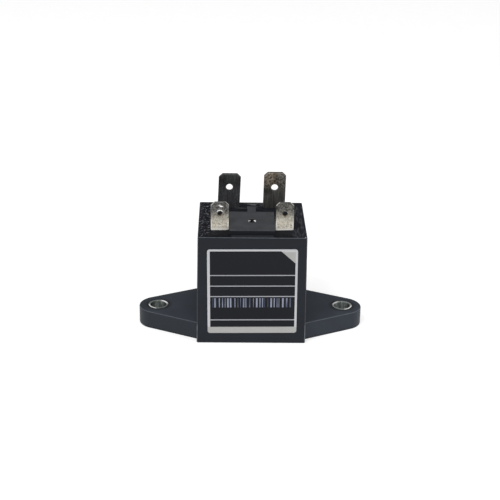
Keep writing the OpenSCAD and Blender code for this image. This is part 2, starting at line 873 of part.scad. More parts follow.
// Plate that closes the yoke above the coil and holds the core
module yoke_plate() {
    color("lightgray")
        difference() {
            block([-yoke_hw, -yoke_hd, z_plate], [yoke_hw, yoke_hd, z_mid]);
            translate([0, 0, z_plate - over])
                cylinder(r = spigot_d / 2 + fit_gap, h = yoke_t + 2 * over);
            for (side = [-1, 1])
                mirror([side < 0 ? 1 : 0, 0, 0])
                    block(
                        [yoke_in - fit_gap, -tenon_w / 2 - fit_gap, z_plate - over],
                        [yoke_hw + over, tenon_w / 2 + fit_gap, z_mid + over]
                    );
        }
}

// Plate that leads the latch magnets' field into the plunger
module pole_plate() {
    color("lightgray")
        difference() {
            block([-pole_hw, -yoke_hd, z_pole], [pole_hw, yoke_hd, z_bobbin]);
            translate([0, 0, z_pole - over]) cylinder(r = tube_or + fit_gap, h = pole_t + 2 * over);
        }
}

module latch_magnet(side) {
    color("#505358")
        mirror([side < 0 ? 1 : 0, 0, 0])
            block([pole_hw, -yoke_hd, z_pole], [yoke_in - glue_t, yoke_hd, z_bobbin]);
}

// Moulded tray that holds the pole plate and its magnets over the yoke
module magnet_carrier() {
    hw = yoke_in - yoke_bend_r - fit_gap;
    hd = yoke_hd + rail_w;
    color("ivory")
        difference() {
            block([-hw, -hd, z_yoke], [hw, hd, z_bobbin]);
            block(
                [-hw - over, -yoke_hd - fit_gap, z_pole],
                [hw + over, yoke_hd + fit_gap, z_bobbin + over]
            );
            translate([0, 0, z_yoke - over]) cylinder(r = tube_or + fit_gap, h = carrier_t + 2 * over);
        }
}

// Magnet beside the arc chamber, which drives the arcs outwards
module blowout_magnet(face) {
    color("#505358")
        mirror([0, face < 0 ? 1 : 0, 0])
            block(
                [-blow_hw, blow_y, z_mid_top],
                [blow_hw, blow_y + blow_magnet_t, z_mid_top + blow_magnet_h]
            );
}

// Spool of the coil, with slots for the coil pins in its upper flange
module bobbin() {
    color("#d8d2c0")
        difference() {
            union() {
                translate([0, 0, z_bobbin]) cylinder(r = barrel_r, h = z_plate - z_bobbin);
                for (z = [z_bobbin, z_winding_top])
                    translate([0, 0, z])
                        linear_extrude(flange_t) rounded_rect(2 * flange_hw, 2 * flange_hd, flange_r);
            }
            translate([0, 0, z_bobbin - over])
                cylinder(r = tube_or + fit_gap, h = z_plate - z_bobbin + 2 * over);
            for (side = [-1, 1])
                tab_shaft(side * coil_tab_x, coil_tab_y, pin_w, z_winding, z_plate + over, fit_gap);
        }
}

// Winding between the flanges, its outer layer cut into turns
module coil_winding() {
    low = z_winding + fit_gap;
    high = z_winding_top - fit_gap;
    turns = floor((high - low) / turn_pitch);
    pitch = (high - low) / turns;
    groove_r = winding_r - turn_groove * pitch;
    color("#b5622d")
        rotate_extrude()
            polygon([
                [barrel_r + fit_gap, low],
                for (i = [0:turns - 1]) each [
                    [groove_r, low + i * pitch],
                    [winding_r, low + (i + (1 - turn_flat) / 2) * pitch],
                    [winding_r, low + (i + (1 + turn_flat) / 2) * pitch]
                ],
                [groove_r, high],
                [barrel_r + fit_gap, high]
            ]);
}

// Wire end wound round a coil pin and led across to the winding
module coil_lead(side) {
    pin = [coil_tab_x, coil_tab_y];
    wrap_r = norm([pin_w, tab_t]) / 2 + lead_d / 2 + fit_gap;
    target = (winding_r + lead_d / 2) * pin / norm(pin);
    span = target - pin;
    leave = atan2(span[1], span[0]) - acos(wrap_r / norm(span));
    z_low = z_pin + lead_d;
    rise = lead_pitch * lead_d;
    last = lead_wraps * wrap_steps;
    wraps = [
        for (i = [0:last])
            let (a = leave + 360 * (i - last) / wrap_steps)
            [pin[0] + wrap_r * cos(a), pin[1] + wrap_r * sin(a), z_low + rise * i / wrap_steps]
    ];
    z_end = z_low + rise * lead_wraps;
    color("#b5622d")
        mirror([side < 0 ? 1 : 0, 0, 0])
            wire(concat(wraps, [[target[0], target[1], z_end]]), lead_d);
}

case();
sleeve(-1);  // sleeve_left
sleeve(1);  // sleeve_right
label();
potting_resin();
lid();
inner_housing();
coil_tab(-1, coil_tab_turn);  // coil_tab_left
coil_tab(1, 0);  // coil_tab_right
load_tab(-1, load_rise_left, load_lean_left);  // load_tab_left
load_tab(1, load_rise_right, load_lean_right);  // load_tab_right
fixed_contact(-1);  // fixed_contact_left
fixed_contact(1);  // fixed_contact_right
contact_bridge();
moving_contact(-1);  // moving_contact_left
moving_contact(1);  // moving_contact_right
contact_spring();
bridge_clip();
push_rod();
plunger();
return_spring();
fixed_core();
guide_tube();
stop_washer();
yoke_frame();
yoke_plate();
pole_plate();
latch_magnet(-1);  // latch_magnet_left
latch_magnet(1);  // latch_magnet_right
magnet_carrier();
blowout_magnet(-1);  // blowout_magnet_front
blowout_magnet(1);  // blowout_magnet_rear
bobbin();
coil_winding();
coil_lead(-1);  // coil_lead_left
coil_lead(1);  // coil_lead_right
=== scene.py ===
"""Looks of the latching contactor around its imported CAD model.

Lengths are in metres, except where a comment says millimetres."""

import json
import math
import random

import bmesh
import bpy
from mathutils import Matrix, Vector, noise

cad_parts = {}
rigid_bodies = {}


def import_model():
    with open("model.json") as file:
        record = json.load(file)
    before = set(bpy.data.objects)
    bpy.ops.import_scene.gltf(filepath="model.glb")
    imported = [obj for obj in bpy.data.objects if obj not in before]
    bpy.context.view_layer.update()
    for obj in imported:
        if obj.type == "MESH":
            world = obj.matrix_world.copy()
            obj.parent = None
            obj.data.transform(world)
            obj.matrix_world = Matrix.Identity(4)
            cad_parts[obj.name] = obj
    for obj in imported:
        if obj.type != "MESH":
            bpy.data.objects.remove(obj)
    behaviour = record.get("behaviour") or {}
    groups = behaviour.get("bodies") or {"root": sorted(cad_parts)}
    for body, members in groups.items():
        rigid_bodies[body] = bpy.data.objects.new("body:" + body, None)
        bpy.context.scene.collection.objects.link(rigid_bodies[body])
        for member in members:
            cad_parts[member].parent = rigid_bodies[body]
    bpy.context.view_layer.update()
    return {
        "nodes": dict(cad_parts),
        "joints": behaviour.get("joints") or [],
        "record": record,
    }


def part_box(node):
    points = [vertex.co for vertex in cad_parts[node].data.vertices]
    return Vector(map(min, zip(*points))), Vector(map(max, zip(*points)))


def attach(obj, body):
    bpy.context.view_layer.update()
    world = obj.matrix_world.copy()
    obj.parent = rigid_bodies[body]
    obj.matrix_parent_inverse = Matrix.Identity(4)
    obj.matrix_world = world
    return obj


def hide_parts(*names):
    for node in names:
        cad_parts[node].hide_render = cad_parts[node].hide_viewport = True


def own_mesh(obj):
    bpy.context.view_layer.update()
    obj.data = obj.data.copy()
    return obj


for leftover in list(bpy.data.objects):
    bpy.data.objects.remove(leftover)

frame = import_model()
NODES = frame["nodes"]
MM = 0.001
HOUSING = "housing"

# Camera, fitted to the photograph
FOCAL_PX = 1165.6
FRAME_PX = 500
SENSOR_MM = 36
CAMERA_DISTANCE = 0.32385
CAMERA_ELEVATION = math.radians(22.89)
CAMERA_AZIMUTH = math.radians(-1.277)
CAMERA_ROLL = math.radians(0.936)
CAMERA_TARGET = Vector((-0.00034, 0, 0.02194))
CAMERA_CLIP = 0.01

# Lamps: place and power in watts of each, their width, and the point that they face
LAMPS = {
    "key": ((-0.25, -0.35, 0.55), 1.3),
    "fill": ((0.45, -0.25, 0.30), 0.5),
    "front": ((0.08, -0.60, 0.22), 0.9),
}
LAMP_SIZE = 0.30
LAMP_TARGET = Vector((0, 0, 0.015))

# Strengths of the studio's even light and of the dark flag in it
AMBIENT = 0.62
FLAG_DEPTH = 0.92

# Floor: half size, place below the part, and glow that lifts it to the backdrop's white
FLOOR_HALF = 3.0
FLOOR_Z = -0.02 * MM
FLOOR_GLOW = 0.48

# Label, as in the part's source
LABEL_DRAFT = math.radians(0.6)
LABEL_TURN = math.radians(0.55)
LABEL_W = 24.2 * MM
LABEL_H = 24.6 * MM
LABEL_T = 0.12 * MM

# Ink of the label: its thickness, and how deep it is set into the film
INK_T = 0.012 * MM
INK_SUNK = 0.002 * MM

# Layout of the label's print in millimetres from the label's left and upper edges: its sides,
# the top and bottom of each row of panels, the width and height of the silver corner, the top
# and bottom of the panel with the bars and of the bars, the black beside them, and the unit of
# their widths
PRINT_LEFT = 0.72
PRINT_RIGHT = LABEL_W / MM - 0.60
PRINT_ROWS = ((0.54, 7.37), (7.65, 10.48), (10.76, 13.56), (20.79, 22.75))
PRINT_CORNER = (3.83, 3.5)
BAR_PANEL = (13.84, 20.51)
BAR_ROW = (14.18, 16.93)
BAR_MARGIN = 0.69
BAR_MODULE = 0.15

# The lid's raised T and its fill hole, as in the part's source
BOSS_SETBACK = 0.5 * MM
BOSS_HALF = 6.16 * MM
BOSS_LEN = 14 * MM
NECK_HALF = 1.2 * MM
NECK_LEN = 4.2 * MM
VENT_SETBACK = 7.4 * MM
VENT_BORE = 1.1 * MM
VENT_SINK = 2.3 * MM

# Fixing holes and coil tabs, as in the part's source
EAR_HOLE_X = 26 * MM
COIL_TAB_HALF = 2.4 * MM
COIL_HOLE_R = 0.7 * MM
COIL_HOLE_DROP = 3.3 * MM

# Drop of sealer: its bulge, its height over the countersink, its inset towards the bore, and
# how deep its back lies below the countersink's inner and outer edge
SEAL_BULGE = 0.10 * MM
SEAL_LIFT = 0.03 * MM
SEAL_INSET = 0.02 * MM
SEAL_INNER_T = 0.06 * MM
SEAL_OUTER_T = 0.10 * MM

# Width of the eased edges
CASE_EASE = 0.04 * MM
LID_EASE = 0.03 * MM
TAB_EASE = 0.12 * MM

# Copies of the solids: the gap under which points are joined, and the angle in degrees under
# which faces are
WELD_GAP = 0.0005 * MM
FLAT_ANGLE = 0.3

# Tin of the coil tabs: the tip's two tones, and how much higher the creamy plate reaches
COIL_TINS = {
    "left": {"pale": (0.15, 0.147, 0.142), "dark": (0.014, 0.014, 0.014), "lift": 0.2 * MM},
    "right": {"pale": (0.140, 0.139, 0.128), "dark": (0.014, 0.014, 0.013), "lift": 0.55 * MM},
}

# Tin of the load tabs: tones of foot and tip, dark as tarnish and as painted reflection, the
# heights over the resin between which one gives way to the other, the tip's stains at the left,
# in the middle and at the right, their size and strength, and the strength of the darkening over
# the middle height and along the level edges
LOAD_TINS = {
    "left": {
        "foot": (0.100, 0.102, 0.109), "tip": (0.023, 0.0238, 0.0245), "reach": (2 * MM, 9 * MM),
        "stains": [(0.034, 0.034, 0.034)] * 3, "stain_size": 0.75 * MM, "cover": 0.3, "darkening": 0.0,
    },
    "right": {
        "foot": (0.140, 0.138, 0.128), "tip": (0.036, 0.032, 0.026), "reach": (5.2 * MM, 7.2 * MM),
        "stains": [(0.34, 0.29, 0.225), (0.175, 0.140, 0.110), (0.21, 0.195, 0.18)],
        "stain_size": 0.42 * MM, "cover": 0.9, "darkening": 0.6,
    },
}

# Skin of the resin: grid step, film on the rim, its inset, the rounding of its corners and how
# far it covers the pool's edge, how far the case's wall lies outside the resin's outline, how
# deep the skin enters a tab, and its thickness
SKIN_STEP = 0.16 * MM
FILM_T = 0.015 * MM
FILM_INSET = 0.03 * MM
FILM_CORNER = 0.5 * MM
FILM_REACH = 0.1 * MM
WALL_OUT = 0.06 * MM
SKIN_OVERLAP = 0.25 * MM
SKIN_T = 0.3 * MM

# Climb of the resin: reach at the case's wall, then height and reach at the T and at the tabs,
# the extra height at the right end of the right coil tab, and where the climb is over
WALL_REACH = 0.5 * MM
BOSS_CLIMB = (0.16 * MM, 0.30 * MM)
TAB_CLIMB = (0.10 * MM, 0.28 * MM)
TAB_CLIMB_EXTRA = {"coil_tab_right": 0.18 * MM}
CLIMB_END = 2 * MM

# Waves of the resin: height, length and the level of the noise that they are taken from
WAVES = ((0.045 * MM, 3.5 * MM, 0.0), (0.010 * MM, 0.8 * MM, 5 * MM))

# Bubbles in the resin: heights of dome and ring and their reach, in parts of the radius
BUBBLE_DOME = 0.35
BUBBLE_RING = 0.10
BUBBLE_REACH = 2.2

# Wrinkles of the resin: height, width and reach of the ridge
WRINKLE_H = 0.035 * MM
WRINKLE_W = 0.14 * MM
WRINKLE_REACH = 0.6 * MM

# Marks scattered over the resin: their count, and the spans in millimetres of their x, their y
# and a bubble's radius or a wrinkle's length
LEFT_BUBBLES = (44, (-13.6, -9.6), (-10, 9.5), (0.10, 0.30))
FAR_BUBBLES = (40, (-13, 13.5), (-11.5, 12), (0.1, 0.24))
LEFT_WRINKLES = (34, (-13.2, -9.8), (-8.5, 7.0), (0.5, 1.6))
REAR_WRINKLES = (12, (-4, 4), (9.8, 12.2), (0.8, 2.0))


class Graph:
    """A node tree under construction."""

    def __init__(self, tree):
        self.tree = tree
        self.tree.nodes.clear()

    def add(self, kind, **settings):
        """New node with its settings."""
        node = self.tree.nodes.new(kind)
        for key, value in settings.items():
            setattr(node, key, value)
        return node

    def link(self, source, target):
        """Joins an output to an input."""
        self.tree.links.new(source, target)

    def feed(self, node, key, value):
        """Links a socket, or writes a constant, into an input."""
        if isinstance(value, bpy.types.NodeSocket):
            self.link(value, node.inputs[key])
        else:
            node.inputs[key].default_value = value

    def math(self, operation, a, b=0.0, clamp=False):
        """Result of an operation on one or two values."""
        node = self.add("ShaderNodeMath", operation=operation, use_clamp=clamp)
        self.feed(node, 0, a)
        self.feed(node, 1, b)
        return node.outputs[0]

    def plus(self, a, b):
        """Sum of two values."""
        return self.math("ADD", a, b)

    def minus(self, a, b):
        """Difference of two values."""
        return self.math("SUBTRACT", a, b)

    def times(self, value, *factors):
        """Product of two or more values."""
        for factor in factors:
            value = self.math("MULTIPLY", value, factor)
        return value

    def most(self, a, b):
        """Larger of two values."""
        return self.math("MAXIMUM", a, b)

    def size(self, value):
        """Value without its sign."""
        return self.math("ABSOLUTE", value)

    def length(self, a, b):
        """Length of a vector with the parts a and b."""
        return self.math("SQRT", self.plus(self.times(a, a), self.times(b, b)))

    def ramp(self, value, low, high, out_low=0.0, out_high=1.0):
        """Smooth change from one output to the other while the value goes from low to high."""
        node = self.add("ShaderNodeMapRange", interpolation_type="SMOOTHSTEP")
        self.link(value, node.inputs["Value"])
        ends = {"From Min": low, "From Max": high, "To Min": out_low, "To Max": out_high}
        for key, number in ends.items():
            node.inputs[key].default_value = number
        return node.outputs[0]

    def part(self, vector, name):
        """Part of a vector along an axis."""
        node = self.add("ShaderNodeSeparateXYZ")
        self.link(vector, node.inputs[0])
        return node.outputs["XYZ".index(name)]


class Look(Graph):
    """The look of a material: a node tree with one Principled shader."""

    def __init__(self, name, **values):
        self.material = bpy.data.materials.new(name)
        self.material.use_nodes = True
        super().__init__(self.material.node_tree)
        self.out = self.add("ShaderNodeOutputMaterial")
        self.main = self.add("ShaderNodeBsdfPrincipled")
        self.link(self.main.outputs[0], self.out.inputs["Surface"])
        for key, value in values.items():
            self.main.inputs[key.replace("_", " ")].default_value = value
        coordinates = self.add("ShaderNodeTexCoord")
        self.place = coordinates.outputs["Object"]
        self.normal = coordinates.outputs["Normal"]

    def set(self, **sockets):
        """Links sockets into the shader's inputs, and returns the material."""
        for key, value in sockets.items():
            self.link(value, self.main.inputs[key.replace("_", " ")])
        return self.material

    def noise(self, size, detail=3, stretch=(1, 1, 1), roughness=0.5, turn=0.0):
        """Noise with features of about the given size, stretched, and turned about Z."""
        mapping = self.add("ShaderNodeMapping", vector_type="TEXTURE")
        self.link(self.place, mapping.inputs["Vector"])
        mapping.inputs["Scale"].default_value = [1 / factor for factor in stretch]
        mapping.inputs["Rotation"].default_value = (0, 0, turn)
        texture = self.add("ShaderNodeTexNoise")
        self.link(mapping.outputs[0], texture.inputs["Vector"])
        texture.inputs["Scale"].default_value = 1 / size
        texture.inputs["Detail"].default_value = detail
        texture.inputs["Roughness"].default_value = roughness
        return texture.outputs[0]

    def vary(self, noise_value, out_low=0.0, out_high=1.0):
        """Value between two ends that follows a noise over nearly its whole range."""
        return self.ramp(noise_value, 0.3, 0.7, out_low, out_high)

    def mix(self, factor, a, b):
        """Blend of two colours."""
        node = self.add("ShaderNodeMix", data_type="RGBA")
        self.feed(node, 0, factor)
        for index, value in ((6, a), (7, b)):
            is_socket = isinstance(value, bpy.types.NodeSocket)
            self.feed(node, index, value if is_socket else (*value, 1))
        return node.outputs[2]

    def layers(self, tone, *coats):
        """A tone with further colours over it, each as a mask and its colour."""
        for mask, colour in coats:
            tone = self.mix(mask, tone, colour)
        return tone

    def axis(self, name):
        """Place along an axis."""
        return self.part(self.place, name)

    def facing(self, name):
        """Size of the surface direction's part along an axis."""
        return self.size(self.part(self.normal, name))

    def span(self, value, low, high, out_low=0.0, out_high=1.0):
        """Ramp over a length, between two lengths in millimetres."""
        return self.ramp(value, low * MM, high * MM, out_low, out_high)

    def along(self, name, low, high, out_low=0.0, out_high=1.0):
        """Ramp over the place along an axis, between two places in millimetres."""
        return self.span(self.axis(name), low, high, out_low, out_high)

    def beside(self, name, low, high):
        """Mask by the distance from the middle along an axis, between two in millimetres."""
        return self.span(self.size(self.axis(name)), low, high)

    def level_edges(self, low=0.35, high=0.9):
        """Mask of the eased edges between an upright and a level face."""
        up = self.facing("Z")
        flat = self.math("SQRT", self.math("SUBTRACT", 1.0, self.times(up, up), clamp=True))
        return self.ramp(self.times(2.0, up, flat), low, high)

    def upright_edges(self, low=0.35, high=0.9):
        """Mask of the eased upright edges between two faces along X and Y."""
        return self.ramp(self.times(2.0, self.facing("X"), self.facing("Y")), low, high)

    def bump(self, height, depth, below=None):
        """Adds relief of the given depth, over another relief if there is one."""
        node = self.add("ShaderNodeBump")
        node.inputs["Strength"].default_value = 1.0
        node.inputs["Distance"].default_value = depth
        self.link(height, node.inputs["Height"])
        if below is not None:
            self.link(below, node.inputs["Normal"])
        return node.outputs[0]


# Materials


def moulded(name, dark, light, roughness, grain, depth, specular):
    """Moulded plastic: eroded grain and faint flow clouds."""
    look = Look(name, IOR=1.5, Specular_IOR_Level=specular)
    clouds = look.noise(4 * MM, detail=4)
    speck = look.noise(grain, detail=2)
    tone = look.mix(look.vary(clouds), dark, light)
    rough = look.vary(clouds, roughness - 0.05, roughness + 0.04)
    rough = look.plus(rough, look.times(speck, 0.06))
    return look.set(Base_Color=tone, Roughness=rough, Normal=look.bump(speck, depth))


def metal(name, dark, light, roughness, mottling, lines=(1, 1, 1), metallic=1.0):
    """Bare or plated metal with mottled tone and optional drawing lines along one axis."""
    look = Look(name, Metallic=metallic)
    patches = look.noise(mottling, detail=5, roughness=0.65)
    tone = look.mix(look.ramp(patches, 0.35, 0.65), dark, light)
    rough = look.vary(patches, roughness + 0.08, roughness - 0.06)
    relief = look.bump(look.noise(0.12 * MM, detail=2, stretch=lines), 0.003 * MM)
    return look.set(Base_Color=tone, Roughness=rough, Normal=relief)


def inner_materials():
    """Materials of the pieces sealed inside, by the record's slot. A row is what its maker takes."""
    plastics = {
        "housing_plastic": ((0.24, 0.22, 0.19), (0.30, 0.28, 0.24), 0.55, 0.2 * MM, 0.01 * MM, 0.4),
        "bobbin_plastic": ((0.62, 0.57, 0.46), (0.70, 0.65, 0.54), 0.5, 0.25 * MM, 0.008 * MM, 0.45),
        "fibre": ((0.28, 0.12, 0.06), (0.40, 0.19, 0.10), 0.7, 0.15 * MM, 0.02 * MM, 0.3),
    }
    metals = {
        "contact_silver": ((0.72, 0.71, 0.68), (0.86, 0.85, 0.82), 0.3, 0.6 * MM),
        "bare_copper": ((0.62, 0.32, 0.20), (0.80, 0.45, 0.29), 0.28, 1.5 * MM, (0.1, 1, 1)),
        "spring_steel": ((0.42, 0.40, 0.36), (0.60, 0.58, 0.53), 0.25, 0.8 * MM),
        "rod_steel": ((0.58, 0.59, 0.60), (0.72, 0.73, 0.74), 0.2, 2 * MM, (1, 1, 6)),
        "soft_iron": ((0.46, 0.47, 0.48), (0.60, 0.61, 0.61), 0.38, 1.2 * MM),
        "brass_tube": ((0.68, 0.50, 0.22), (0.80, 0.62, 0.30), 0.22, 2 * MM, (1, 1, 0.1)),
        "magnet": ((0.30, 0.31, 0.32), (0.42, 0.43, 0.44), 0.3, 1 * MM),
        "enamelled_copper": ((0.42, 0.15, 0.05), (0.60, 0.26, 0.10), 0.22, 0.7 * MM, (1, 1, 0.2), 0.9),
    }
    materials = {name: moulded(name, *values) for name, values in plastics.items()}
    materials.update({name: metal(name, *values) for name, values in metals.items()})
    return materials


def case_plastic():
    """Black moulding: eroded grain, ears painted paler, and painted shade and edge highlights."""
    look = Look("case_plastic", IOR=1.5, Specular_IOR_Level=0.22)
    clouds = look.noise(4 * MM, detail=4)
    speck = look.noise(0.16 * MM, detail=2)
    cloud = look.vary(clouds)
    body = look.layers(
        look.mix(cloud, (0.0055, 0.0078, 0.0125), (0.0082, 0.0110, 0.0170)),
        # Painted shade: darker towards the case's top
        (look.along("Z", 22, 31, 0.0, 0.45), (0.0015, 0.0025, 0.0050)),
    )
    # Painted light: the ears' flanks and tops paler than the case's body
    flank = look.layers(
        look.mix(cloud, (0.0225, 0.0285, 0.0380), (0.0270, 0.0335, 0.0445)),
        # Painted shade: the left ear's flanks darker, and all flanks darker at their lower edge
        (look.along("X", -17, -13, 0.35, 0.0), (0.008, 0.010, 0.013)),
        (look.along("Z", 0.7, 0.1, 0.0, 0.8), (0.002, 0.002, 0.003)),
    )
    top = look.layers(
        look.mix(cloud, (0.0350, 0.0430, 0.0560), (0.0410, 0.0500, 0.0640)),
        # Painted shade: the left ear's top darker towards its end
        (look.along("X", -27, -30, 0.0, 0.4), (0.012, 0.015, 0.020)),
    )
    ear = look.times(look.beside("X", 14.6, 15.0), look.along("Z", 6.0, 5.2))
    # Painted light: the ears' tops lighter than their flanks, as the light falls
    ear_painted_light = look.mix(look.ramp(look.facing("Z"), 0.5, 0.9), flank, top)
    from_hole = look.length(look.minus(look.size(look.axis("X")), EAR_HOLE_X), look.axis("Y"))
    # Painted shadow round the sleeves in the ears
    shade = look.span(from_hole, 4.2, 2.95, 0, 0.8)
    # Painted highlights on the upright corners and the eased level edges, broken up by noise
    highlight_breakup = look.ramp(look.noise(1.2 * MM), 0.25, 0.6, 0.55, 1.0)
    low_corner = look.along("Z", 6.5, 4.5, 0.28, 1.0)
    corner = look.times(look.upright_edges(0.45, 0.95), look.beside("Y", 12, 12.2), low_corner, highlight_breakup)
    tone = look.layers(
        look.mix(ear, body, ear_painted_light),
        (shade, (0.008, 0.010, 0.0115)),
        # Painted highlights on the corners and on the eased level edges
        (corner, (0.150, 0.163, 0.182)),
        (look.times(look.level_edges(), highlight_breakup), (0.088, 0.100, 0.118)),
    )
    rough = look.plus(look.vary(clouds, 0.45, 0.54), look.times(speck, 0.06))
    return look.set(Base_Color=tone, Roughness=rough, Normal=look.bump(speck, 0.008 * MM))


def lid_plastic():
    """Dark grey moulding, wetted black by the resin on its upright faces.

    A painted highlight lies on the upright edges of its right half.
    """
    look = Look("lid_plastic", IOR=1.5, Specular_IOR_Level=0.25)
    clouds = look.noise(3 * MM, detail=4)
    speck = look.noise(0.2 * MM, detail=2)
    dots = look.ramp(look.noise(0.22 * MM, detail=4, roughness=0.7), 0.60, 0.72, 0.0, 0.5)
    wet = look.ramp(look.facing("Z"), 0.75, 0.5)
    # Painted highlight on the upright edges of the right half
    right_edge_highlight = look.times(look.upright_edges(), look.along("X", 0, 1))
    tone = look.layers(
        look.mix(look.vary(clouds), (0.041, 0.0425, 0.048), (0.054, 0.056, 0.063)),
        (dots, (0.085, 0.088, 0.095)),
        (wet, (0.0165, 0.0175, 0.0210)),
        (right_edge_highlight, (0.10, 0.103, 0.11)),
    )
    return look.set(
        Base_Color=tone,
        Roughness=look.ramp(wet, 0, 1, 0.62, 0.3),
        Specular_IOR_Level=look.ramp(wet, 0, 1, 0.25, 0.06),
        Normal=look.bump(speck, 0.012 * MM),
    )


def epoxy():
    """Cast resin: black, softly glossy and dusty, with pale scuffs and painted glints at the left.

    Painted highlights lie at the rear and at the rim's right front corner, and painted light
    on the front strip.
    """
    look = Look("epoxy", IOR=1.5, Specular_IOR_Level=0.004)
    cloud = look.ramp(look.noise(3 * MM, detail=3), 0.42, 0.7)
    grit = look.ramp(look.noise(0.26 * MM, detail=6, roughness=0.75), 0.58, 0.72)
    dust = look.times(grit, look.ramp(cloud, 0, 1, 0.25, 1.0))
    streaks = look.noise(0.5 * MM, detail=3, stretch=(1, 0.15, 1))
    wipe = look.times(look.ramp(streaks, 0.46, 0.66, 0.1, 0.7), look.along("X", 10.0, 11.5))
    waves = look.noise(0.5 * MM, detail=3, stretch=(0.16, 1, 1))
    # Painted highlights on the wrinkles at the rear, between the load tabs
    back = look.times(
        look.ramp(waves, 0.52, 0.62), look.along("Y", 9.4, 10.2), look.beside("X", 5.6, 4.0)
    )
    # Painted highlight along the rim's rear edge, in the middle
    lip = look.times(
        look.along("Y", 12.4, 12.65), look.ramp(waves, 0.30, 0.45, 0.6, 1.0),
        look.along("X", -2.8, -1.0, 0.3, 1.0), look.beside("X", 6.6, 5.6),
    )
    # Pale streaks at the left: scuffs, and painted glints off the resin's bumps
    slant = math.radians(-38)
    strokes = look.noise(0.42 * MM, detail=4, stretch=(1, 0.28, 1), roughness=0.65, turn=slant)
    scuffs_and_glints = look.times(
        look.ramp(strokes, 0.55, 0.63), look.along("X", -9.2, -10.8),
        look.along("Y", -9, -4, 0.55, 1.0),
    )
    # Painted light on the front strip: lighter in the middle, painted shade at its sides
    front = look.along("Y", -9.6, -10.4)
    centre = look.beside("X", 6.2, 5.2)
    off_centre = look.times(look.beside("X", 11.2, 10.6), look.minus(1.0, centre))
    # Painted glint on the rim at the right front corner
    corner_glint = look.times(look.along("X", 13.85, 14.0), look.along("Y", -12.6, -12.8))
    tone = look.layers(
        look.mix(dust, (0.0165, 0.0175, 0.0212), (0.066, 0.069, 0.078)),
        (wipe, (0.085, 0.089, 0.100)),
        (back, (0.13, 0.135, 0.14)),
        (lip, (0.185, 0.195, 0.185)),
        (scuffs_and_glints, (0.23, 0.23, 0.25)),
        (look.times(front, centre), (0.031, 0.033, 0.039)),
        (look.times(front, off_centre, 0.65), (0.006, 0.0065, 0.0085)),
        (corner_glint, (0.42, 0.42, 0.43)),
    )
    rough = look.plus(look.ramp(cloud, 0, 1, 0.24, 0.34), look.times(scuffs_and_glints, 0.3))
    ripples = look.bump(look.noise(2.2 * MM, detail=2), 0.05 * MM)
    pits = look.ramp(look.noise(0.45 * MM, detail=2), 0.62, 0.75)
    relief = look.bump(pits, 0.02 * MM, below=ripples)
    return look.set(Base_Color=tone, Roughness=rough, Normal=relief)


def coil_tin(side, pale, dark, lift):
    """Tin plate of a coil tab: creamy and stained below, dull and speckled towards the tip.

    Painted shade lies on its narrow sides and along the tip's top edge, painted highlights on
    the slanted bevels of its corners and, on the left tab, round the hole.
    """
    low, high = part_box(f"coil_tab_{side}")
    look = Look(f"coil_tab_tin_{side}")
    u = look.minus(look.axis("X"), (low.x + high.x) / 2)
    v = look.minus(look.axis("Z"), high.z - COIL_HOLE_DROP)
    from_hole = look.length(u, v)
    wander = look.times(look.minus(look.noise(0.6 * MM, detail=5, roughness=0.7), 0.5), 5 * MM)
    rise = look.ramp(look.plus(v, wander), lift - 3.6 * MM, lift + 1.0 * MM)
    patches = look.noise(0.9 * MM, detail=6, roughness=0.7)
    grit = look.noise(0.3 * MM, detail=4, roughness=0.7)
    blots = look.noise(0.42 * MM, detail=4, roughness=0.6)
    plate = look.mix(look.ramp(patches, 0.38, 0.62), (0.53, 0.487, 0.388), (0.83, 0.785, 0.675))
    dull = look.mix(look.ramp(blots, 0.40, 0.58), dark, pale)
    dots = look.times(look.ramp(grit, 0.455, 0.395), look.ramp(patches, 0.3, 0.6, 0.4, 0.8))
    dots = look.most(dots, look.ramp(blots, 0.37, 0.33))
    # Painted shade on the tab's narrow sides
    side_shade = look.ramp(look.facing("X"), 0.3, 0.6, 0.0, 0.85)
    rim = look.ramp(look.size(u), COIL_TAB_HALF - 0.45 * MM, COIL_TAB_HALF - 0.2 * MM, 0.0, 0.7)
    rim = look.times(rim, look.span(v, -1.2, -3.2))
    rim = look.most(rim, look.span(v, -3.9, -4.3, 0.0, 0.7))
    crest = look.level_edges(0.4, 0.9)
    slant = look.ramp(look.facing("X"), 0.15, 0.4)
    # Painted shade: a dark band along the tip's top edge, and on its level bevels
    shade = look.ramp(v, COIL_HOLE_DROP - 0.85 * MM, COIL_HOLE_DROP - 0.4 * MM, 0.0, 0.6)
    shade = look.most(shade, look.times(crest, look.math("SUBTRACT", 0.9, slant, clamp=True)))
    tone = look.layers(
        look.mix(rise, plate, dull),
        (dots, (0.10, 0.088, 0.070)),
        (side_shade, (0.10, 0.095, 0.085)),
        (rim, (0.95, 0.93, 0.88)),
        (shade, (0.025, 0.025, 0.024)),
        # Painted highlight on the slanted bevels at the tip's corners
        (look.times(crest, slant), (0.50, 0.49, 0.47)),
        (look.ramp(look.facing("Z"), 0.9, 0.98), (0.28, 0.275, 0.26)),
    )
    if side == "left":
        tone = look.mix(glints(look, u, v, from_hole), tone, (0.97, 0.97, 0.96))
    bore = look.ramp(from_hole, COIL_HOLE_R + 0.10 * MM, COIL_HOLE_R + 0.03 * MM)
    bore_tone = look.mix(look.ramp(grit, 0.45, 0.55), (0.060, 0.048, 0.032), (0.32, 0.25, 0.155))
    return look.set(
        Base_Color=look.mix(bore, tone, bore_tone),
        Metallic=look.ramp(rise, 0, 1, 0.0, 0.7),
        Roughness=look.plus(look.ramp(rise, 0, 1, 0.55, 0.36), look.times(dots, 0.15)),
        Normal=look.bump(grit, 0.006 * MM, below=look.bump(patches, 0.02 * MM)),
    )


